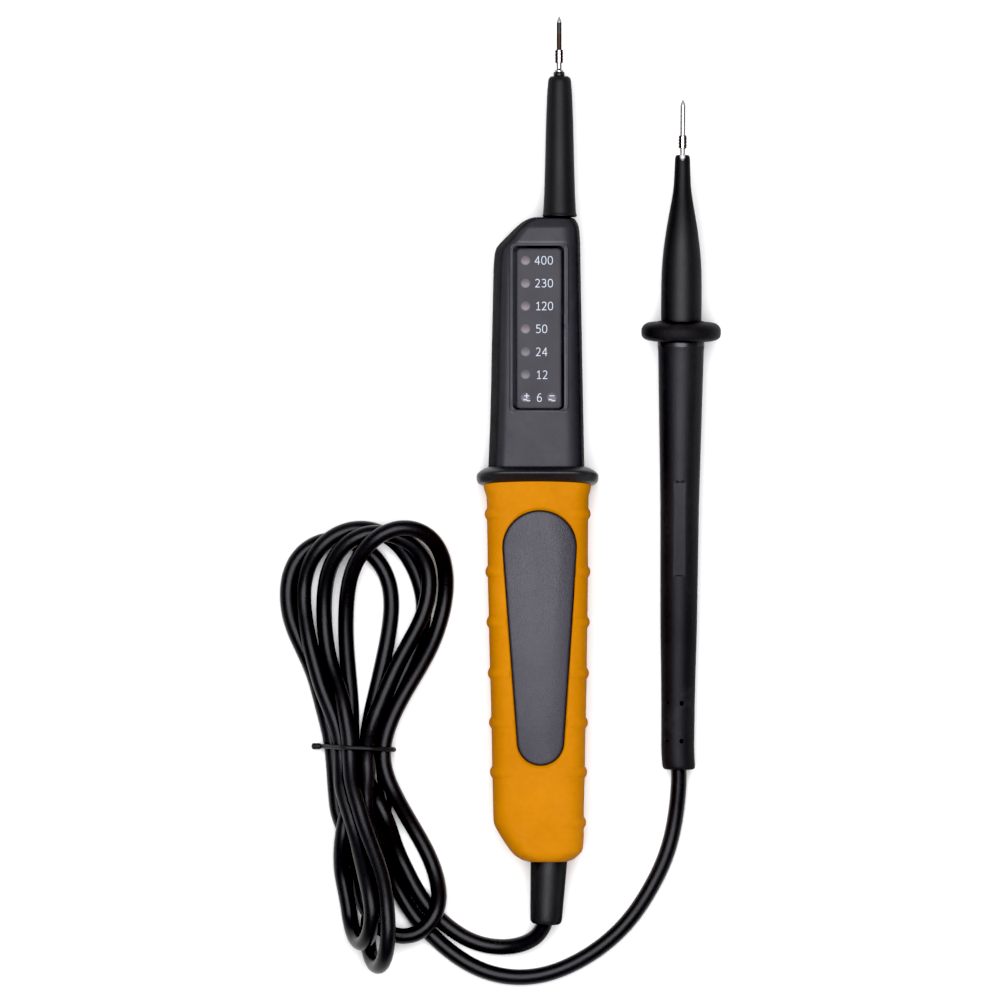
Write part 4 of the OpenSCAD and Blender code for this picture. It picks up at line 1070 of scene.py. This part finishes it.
nose_profile = [(70.0, 3.2), (73.35, 3.2), (73.35, 4.45), (73.45, 4.8), (73.7, 4.98), (74.05, 4.98), (74.3, 4.86), (74.55, 4.78),
                (75.0, 4.75), (79.6, 4.50), (84.2, 4.37), (88.8, 4.24), (93.5, 4.13), (98.1, 4.02), (102.7, 3.89), (107.4, 3.70), (110.0, 3.56),
                (112.0, 3.41), (112.7, 3.35), (113.25, 3.24), (113.65, 3.06), (113.95, 2.8), (114.15, 2.45), (114.25, 2.0), (114.25, 1.3), (113.0, 0.9)]
nose = build("nose", *loft(about_nose(nose_profile) + np.array([0.14, 0, 0])), angle=40)
finish_piece(nose, "nose", replaced=("nose_sleeve",))

collar_profile = [(113.8, 1.2), (114.1, 1.52), (114.45, 1.62), (115.15, 1.62), (115.4, 1.5), (115.5, 1.25), (115.45, 0.7)]
collar = build("nose_collar", *loft(about_nose(collar_profile, 48)), angle=40)
finish_piece(collar, "black", replaced=("tip_collar",))


def threaded(y0, y1, r, pitch, depth, sides=48):
    """A helical thread as a closed tube of revolution-like rings."""
    n = int((y1 - y0) / pitch * 12)
    rings = []
    a = np.linspace(0, 2 * math.pi, sides, endpoint=False)
    for k in range(n + 1):
        y = y0 + (y1 - y0) * k / n
        phase = (y - y0) / pitch * 2 * math.pi
        w = 0.5 + 0.5 * np.cos(phase - a)
        rr = r - depth * (1 - w ** 0.8)
        end = min(1.0, (y - y0) / 0.25, (y1 - y) / 0.25)
        rr = rr - (1 - max(end, 0)) * 0.2
        rings.append(np.stack([rr * np.cos(a), np.full(sides, y), np.clip(rr * np.sin(a), -1.13, 1.13)], 1))
    core = min(r - depth - 0.15, 0.7)
    first = np.stack([core * np.cos(a), np.full(sides, y0), core * np.sin(a)], 1)
    final = np.stack([core * np.cos(a), np.full(sides, y1), core * np.sin(a)], 1)
    return np.stack([first] + rings + [final])


def tip_profile(y0, y1, y2, r=0.75):
    return [(y0, 0.4), (y0, 0.5), (y1 - 0.3, 0.5), (y1 - 0.1, 0.6), (y1 + 0.05, r - 0.06), (y1 + 0.2, r), (121.6, r), (121.9, r), (126.2, r), (126.6, r), (y2 - 1.95, r), (y2 - 1.8, r - 0.02),
            (y2 - 1.55, r - 0.07), (y2 - 1.15, 0.50), (y2 - 0.75, 0.34), (y2 - 0.4, 0.19), (y2 - 0.15, 0.09), (y2 - 0.02, 0.02)]


NOSE_AT = np.array([NX, 0, NZ])
washer = build("tip_ring", *loft(about_nose([(115.4, 0.6), (115.45, 1.02), (115.55, 1.14), (115.9, 1.14), (116.02, 1.02), (116.05, 0.55)], 48)), angle=40)
finish_piece(washer, "steel", replaced=("tip_washer",))
tip1 = build("tip_pin", *loft(about_nose(tip_profile(108, 116.2, 131.75, 0.72), 40)), angle=40)
finish_piece(tip1, "steel", replaced=("probe_tip",))
for extra in ("stained", "dulled", "ground"):
    tip1.data.materials.append(M[extra])
for face in tip1.data.polygons:
    fy = face.center.y / MM
    if 121.7 < fy:
        face.material_index = 1 if fy < 126.4 else 2 if fy < 129.85 else 3
    elif 116.0 < fy < 117.0:
        face.material_index = 2
thread1 = build("tip_screw_thread", *loft(threaded(118.0, 121.9, 1.22, 0.95, 0.13) + NOSE_AT), angle=50)
finish_piece(thread1, "thread", replaced=("tip_thread",))
# painted highlight: the flat faces down the middle of the thread get light steel colour
thread1.data.materials.append(M["bright"])
for face in thread1.data.polygons:
    if abs(face.center.x / MM - NX) < 0.36 and abs(face.center.z / MM - NZ) > 0.9:
        face.material_index = 1

# Strain relief
boot_dir = np.array([math.cos(math.radians(7)) * math.sin(math.radians(-2.7)), -math.cos(math.radians(7)) * math.cos(math.radians(-2.7)),
                     -math.sin(math.radians(7))])
boot_from = np.array([TX + 3.34, -110.8, 11.75])
boot_side = np.cross(boot_dir, [0, 0, 1.0])
boot_side /= np.linalg.norm(boot_side)
boot_up = np.cross(boot_side, boot_dir)


def along_boot(profile, sides=56):
    a = np.linspace(0, 2 * math.pi, sides, endpoint=False)
    return np.stack([boot_from + s * boot_dir + r * (np.cos(a)[:, None] * boot_side + np.sin(a)[:, None] * boot_up) for s, r in profile])


boot_profile = [(0.8, 3.0), (0.8, 5.1), (1.6, 5.26), (2.6, 5.30), (6.0, 5.20), (10.0, 5.02), (14.0, 4.86), (17.5, 4.72), (19.3, 4.62), (20.0, 4.5),
                (20.45, 4.22), (20.68, 3.8), (20.75, 3.2), (20.72, 2.75), (20.5, 2.42), (20.0, 2.33), (17.0, 2.33)]
boot = build("strain_relief", *loft(along_boot(boot_profile)), angle=45)
finish_piece(boot, "boot", replaced=("cable_boot",))

# ---------------------------------------------------------------- second probe
probe_m = (Matrix.Translation(Vector((22.8, -86.7, 4.8)) * MM) @ Matrix.Rotation(math.radians(-0.45), 4, "Z")
           @ Matrix.Rotation(math.radians(3.05), 4, "X"))


def probe_piece(name, profile, mat, slot_name, nodes, sides=72, angle=40, rings=None):
    r = revolved(profile, sides) if rings is None else rings
    ob = build(name, *loft(r), angle=angle)
    return ob


handle_profile = [(12.0, 2.4), (1.2, 2.4), (0.4, 2.5), (0.12, 2.75), (0.0, 3.3), (0.04, 4.0), (0.2, 4.4), (0.55, 4.66), (1.1, 4.76), (5, 4.79), (10, 4.82),
                  (18.7, 4.87), (24, 4.95), (30.3, 5.06), (36, 5.2), (42, 5.31), (53.5, 5.42), (65, 5.51), (76.7, 5.62), (82, 5.73), (88.3, 5.86),
                  (94, 6.0), (100, 6.15), (106, 6.28), (111.5, 6.41), (117, 6.53), (121.5, 6.62), (122.3, 6.72), (123.0, 6.8), (124.2, 6.8), (124.7, 6.7),
                  (125.0, 6.45), (125.1, 6.0), (125.1, 3.0)]


def with_flat(rings, y0, y1, z0, z1):
    """Planes a long narrow flat on the front of a round body."""
    r = rings.copy()
    for i in range(len(r)):
        y = r[i, 0, 1]
        t = np.clip(min((y - y0) / 0.3, (y1 - y) / 0.3), 0, 1)
        level = z0 + (z1 - z0) * (y - y0) / (y1 - y0)
        r[i, :, 2] -= t * np.clip(r[i, :, 2] - level, 0, 1)
    return r


hp = []
for (ya, ra), (yb, rb) in zip(handle_profile[:-1], handle_profile[1:]):
    m = max(1, int(abs(yb - ya) / 1.2))
    hp += [(ya + (yb - ya) * k / m, ra + (rb - ra) * k / m) for k in range(m)]
hp.append(handle_profile[-1])
for extra in (56.4, 56.55, 56.7, 83.6, 83.75, 83.9):
    at = [k for k in range(len(hp) - 1) if hp[k][0] < extra < hp[k + 1][0]][0]
    (ya, ra), (yb, rb) = hp[at], hp[at + 1]
    hp.insert(at + 1, (extra, ra + (rb - ra) * (extra - ya) / (yb - ya)))
handle_rings = revolved(hp, 160)
outer = np.array([3.0 < r for _, r in hp])
pressed = with_flat(handle_rings, 56.4, 83.9, 5.164, 5.507)
handle_rings[outer] = pressed[outer]
handle_rings[:, :, 0] += 0.45 * np.clip(1 - handle_rings[:, :, 1] / 8.0, 0, 1) ** 2
handle = build("probe_handle", *loft(handle_rings), angle=38)
for turn, hy, wide_ in ((12.5, 8.45, 1.0), (12.3, 19.45, 1.0), (-40.0, 8.5, 0.62), (-37.6, 19.55, 0.62)):
    a = np.linspace(0, 2 * math.pi, 24, endpoint=False)
    c_, s_ = math.cos(math.radians(turn)), math.sin(math.radians(turn))
    well = np.stack([np.stack([r * np.cos(a), hy + r * np.sin(a), np.full(24, z)], 1) for z, r in ((2.75, 0.12), (3.1, 0.5 * wide_), (4.3, 0.56 * wide_), (4.72, 0.6 * wide_), (4.95, 0.72 * wide_), (8, 0.72 * wide_))])
    turned = well.copy()
    turned[:, :, 0] = c_ * well[:, :, 0] + s_ * well[:, :, 2]
    turned[:, :, 2] = -s_ * well[:, :, 0] + c_ * well[:, :, 2]
    boolean(handle, build("cut_hole", *loft(turned)))
shade(handle, 38)
# painted highlight: faces of the collar band get the lighter, glossier collar finish
painted_highlight_band = [f.index for f in handle.data.polygons if 123.15 < f.center.y / MM < 125.3 and math.hypot(f.center.x, f.center.z) > 6.3 * MM]
placed(handle, probe_m)
finish_piece(handle, "probe", body="second_probe", replaced=("probe2_handle",))
handle.data.materials.append(M["collar"])
for k in painted_highlight_band:
    handle.data.polygons[k].material_index = 1

disc_profile = [(124.0, 3.0), (124.0, 6.4), (124.15, 6.9), (124.3, 7.6), (124.36, 8.6), (124.5, 9.5), (124.75, 10.3), (125.15, 10.95), (125.7, 11.38), (126.4, 11.53),
                (127.15, 11.56), (127.8, 11.5), (128.4, 11.28), (128.95, 10.85), (129.4, 10.25), (129.68, 9.5), (129.8, 8.6), (129.86, 7.6), (129.95, 6.9),
                (130.1, 6.5), (130.2, 6.1), (130.0, 4.0)]
disc = build("guard_disc", *loft(revolved(disc_profile, 96)), angle=50)
placed(disc, probe_m)
finish_piece(disc, "disc", body="second_probe", replaced=("probe2_guard_disc",))

nose2_profile = [(129.7, 4.0), (129.8, 5.84), (131, 5.88), (133, 5.9), (137, 5.9), (140, 5.88), (144.3, 5.8), (147, 5.66), (149, 5.5), (151.5, 5.25), (153.6, 4.98),
                 (156, 4.65), (158.2, 4.3), (160.5, 3.9), (162.8, 3.5), (164.5, 3.18), (166.2, 2.9), (167.8, 2.68), (169.4, 2.5), (172.2, 2.36), (174.5, 2.27),
                 (176.8, 2.21), (177.55, 2.14), (178.0, 1.98), (178.25, 1.72), (178.3, 1.35), (177.9, 1.0)]
nose2 = build("probe_nose", *loft(revolved(nose2_profile, 80)), angle=40)
notch = [(-0.9, 181.0), (-0.9, 177.68)] + [(0.9 * math.cos(t), 177.68 + 0.9 * math.sin(t)) for t in np.linspace(math.pi, 2 * math.pi, 17)[1:-1]] + [(0.9, 177.68), (0.9, 181.0)]
cut = build("cut_notch", *loft(np.stack([np.array([(a, b, z) for a, b in notch]) for z in (-0.2, 5.0)])))
boolean(nose2, cut)
soften(nose2, 0.1, 50, 2)
shade(nose2, 40)
placed(nose2, probe_m)
finish_piece(nose2, "nose2", body="second_probe", replaced=("probe2_nose",))

tip2_profile = [(175.6, 0.5), (176.7, 0.5), (176.9, 0.52)] + [(177.65 - 0.86 * math.cos(t), 0.86 * math.sin(t)) for t in np.linspace(0.66, 2.5, 12)] + [
    (178.36, 0.64), (178.7, 0.68), (179.3, 0.72), (180.0, 0.72), (180.2, 0.72), (183.9, 0.72),
    (184.2, 0.75), (192.65, 0.75), (192.8, 0.73), (193.05, 0.67), (193.45, 0.51), (193.85, 0.34), (194.2, 0.19), (194.44, 0.09), (194.58, 0.02)]
tip2 = build("probe_pin", *loft(revolved(tip2_profile, 40)), angle=40)
bright_tip = [f.index for f in tip2.data.polygons if f.center.y / MM > 192.7]
ball_faces = [f.index for f in tip2.data.polygons if 176.7 < f.center.y / MM < 178.45]
placed(tip2, probe_m)
finish_piece(tip2, "steel", body="second_probe", replaced=("probe2_tip",))
tip2.data.materials.append(M["ground"])
tip2.data.materials.append(M["ball"])
for k in bright_tip:
    tip2.data.polygons[k].material_index = 1
for k in ball_faces:
    tip2.data.polygons[k].material_index = 2
thread2 = build("probe_screw_thread", *loft(threaded(180.2, 184.0, 1.22, 0.95, 0.13)), angle=50)
# painted highlight: the flat faces down the middle of the thread get light steel colour
painted_highlight_flat = [f.index for f in thread2.data.polygons if abs(f.center.x / MM) < 0.36 and abs(f.center.z / MM) > 0.9]
placed(thread2, probe_m)
finish_piece(thread2, "thread", body="second_probe", replaced=("probe2_thread",))
thread2.data.materials.append(M["bright"])
for k in painted_highlight_flat:
    thread2.data.polygons[k].material_index = 1

# ---------------------------------------------------------------- tie round the hank
tie_y = (470.4 - 748.0) * PX
crossing = []
for a, b in zip(cord_line[:-1], cord_line[1:]):
    if (a[1] - tie_y) * (b[1] - tie_y) <= 0 and a[0] < -55:
        t = (tie_y - a[1]) / (b[1] - a[1] if abs(b[1] - a[1]) > 1e-9 else 1e-9)
        crossing.append((a[0] + (b[0] - a[0]) * t, a[2] + (b[2] - a[2]) * t))
around = []
for cx_, cz_ in crossing:
    for t in np.linspace(0, 2 * math.pi, 48, endpoint=False):
        around.append((cx_ + (CORD_R + 0.72) * math.cos(t), max(0.72, cz_ + (CORD_R + 0.72) * math.sin(t))))
around = sorted(set((round(a, 4), round(b, 4)) for a, b in around))


def hull(points):
    def half(ps):
        h = []
        for p in ps:
            while len(h) > 1 and (h[-1][0] - h[-2][0]) * (p[1] - h[-2][1]) - (h[-1][1] - h[-2][1]) * (p[0] - h[-2][0]) <= 0:
                h.pop()
            h.append(p)
        return h
    lower, upper = half(points), half(points[::-1])
    return lower[:-1] + upper[:-1]


loop = np.array(hull(around))
loop3 = np.column_stack([loop[:, 0], np.full(len(loop), tie_y), loop[:, 1]])
loop3 = even(np.vstack([loop3, loop3[:1]]), 0.6)[:-1]
# the wire leans a little: higher on the left of the photo
loop3[:, 1] += 0.045 * (loop3[:, 0] - loop3[:, 0].mean()) * -1
tv, tf = [], []


def closed_tube(line, r, sides=14):
    n = len(line)
    t = np.roll(line, -1, 0) - np.roll(line, 1, 0)
    t /= np.linalg.norm(t, axis=1)[:, None]
    u = np.cross(t, np.array([0, 1.0, 0]))
    u /= np.linalg.norm(u, axis=1)[:, None]
    v = np.cross(u, t)
    a = np.linspace(0, 2 * math.pi, sides, endpoint=False)
    return line[:, None, :] + r * (np.cos(a)[None, :, None] * u[:, None, :] + np.sin(a)[None, :, None] * v[:, None, :])


rv, rf = loft(closed_tube(loop3, 0.68), loop=True)
left_end = loop3[loop3[:, 0].argmin()]
knot_at = np.array([left_end[0] - 0.3, left_end[1], max(left_end[2], 3.2)])
tw = []
for k in range(60):
    t = k / 59
    ang = t * 4.6 * math.pi
    tw.append(knot_at + np.array([-0.2 - 2.1 * t, 0.45 * math.cos(ang), 0.45 * math.sin(ang)]))
tw2 = [p * [1, 1, 1] + np.array([0, -2 * (p[1] - knot_at[1]), -2 * (p[2] - knot_at[2])]) for p in tw]
parts_v, parts_f = [rv], [rf]
for line in (np.array(tw), np.array(tw2)):
    r = np.full(len(line), 0.5)
    r[:2], r[-2:] = [0.3, 0.45], [0.42, 0.25]
    v2, f2 = loft(tube_rings(line, r, 12))
    parts_v.append(v2)
    parts_f.append(f2)
off, allf = 0, []
for v2, f2 in zip(parts_v, parts_f):
    allf += [[i + off for i in f] for f in f2]
    off += len(v2)
tie = build("tie_wire", np.vstack(parts_v), allf, angle=60)
finish_piece(tie, "tie", replaced=("cord_tie",))

# ---------------------------------------------------------------- CAD nodes that stay as they are
for name, ob in frame["nodes"].items():
    if ob.hide_render:
        continue
    look = CAD_LOOKS.get(slot_of.get(name, ""), "component")
    ob.data.materials.clear()
    ob.data.materials.append(M[look])

# ---------------------------------------------------------------- stage
floor_mat = bpy.data.materials.new("floor_paper")
nt = graph(floor_mat)
out = node(nt, "ShaderNodeOutputMaterial", (600, 0))
bsdf = node(nt, "ShaderNodeBsdfPrincipled", (300, 0))
bsdf.inputs["Roughness"].default_value = 0.9
bsdf.inputs["Specular IOR Level"].default_value = 0.1
bsdf.inputs["Base Color"].default_value = (0.925, 0.938, 0.885, 1)
tc = node(nt, "ShaderNodeTexCoord", (-300, 0))
fibre = node(nt, "ShaderNodeTexNoise", (-100, -200), Scale=900.0, Detail=2.0)
nt.links.new(tc.outputs["Object"], fibre.inputs["Vector"])
fb = node(nt, "ShaderNodeBump", (100, -200))
fb.inputs["Strength"].default_value = 0.02
nt.links.new(fibre.outputs["Fac"], fb.inputs["Height"])
nt.links.new(fb.outputs["Normal"], bsdf.inputs["Normal"])
nt.links.new(bsdf.outputs["BSDF"], out.inputs["Surface"])
fme = bpy.data.meshes.new("floor")
fme.from_pydata([(-12, -12, -0.00015), (12, -12, -0.00015), (12, 12, -0.00015), (-12, 12, -0.00015)], [], [(0, 1, 2, 3)])
floor = bpy.data.objects.new("floor", fme)
floor.data.materials.append(floor_mat)
scene.collection.objects.link(floor)

world = bpy.data.worlds.new("studio")
scene.world = world
world.use_nodes = True
wn = world.node_tree
wn.nodes.clear()
wo = wn.nodes.new("ShaderNodeOutputWorld")
wb = wn.nodes.new("ShaderNodeBackground")
wb.inputs["Color"].default_value = (1.0, 0.985, 1.0, 1)
wb.inputs["Strength"].default_value = 0.13
wn.links.new(wb.outputs["Background"], wo.inputs["Surface"])


def softbox(name, at, to, size, radiance, colour=(1, 1, 1)):
    """A rectangular soft light; radiance is how bright its face is."""
    data = bpy.data.lights.new(name, "AREA")
    data.shape = "RECTANGLE"
    data.size, data.size_y = size
    data.energy = radiance * math.pi * size[0] * size[1]
    data.color = colour
    ob = bpy.data.objects.new(name, data)
    scene.collection.objects.link(ob)
    ob.location = at
    ob.rotation_mode = "QUATERNION"
    ob.rotation_quaternion = (Vector(at) - Vector(to)).to_track_quat("Z", "Y")
    return ob


softbox("key", (centre[0] - 0.015, centre[1] + 0.03, 1.25), (centre[0], centre[1], 0), (1.05, 1.05), 6.1, (0.99, 0.975, 1.055))
scene.view_settings.view_transform = "Standard"
scene.view_settings.look = "None"
scene.view_settings.exposure = 0.0
scene.view_settings.gamma = 1.0
scene.view_settings.use_curve_mapping = True
levels = scene.view_settings.curve_mapping
levels.black_level = (0.0095, 0.0095, 0.0098)
levels.white_level = (0.715, 0.715, 0.715)
levels.update()
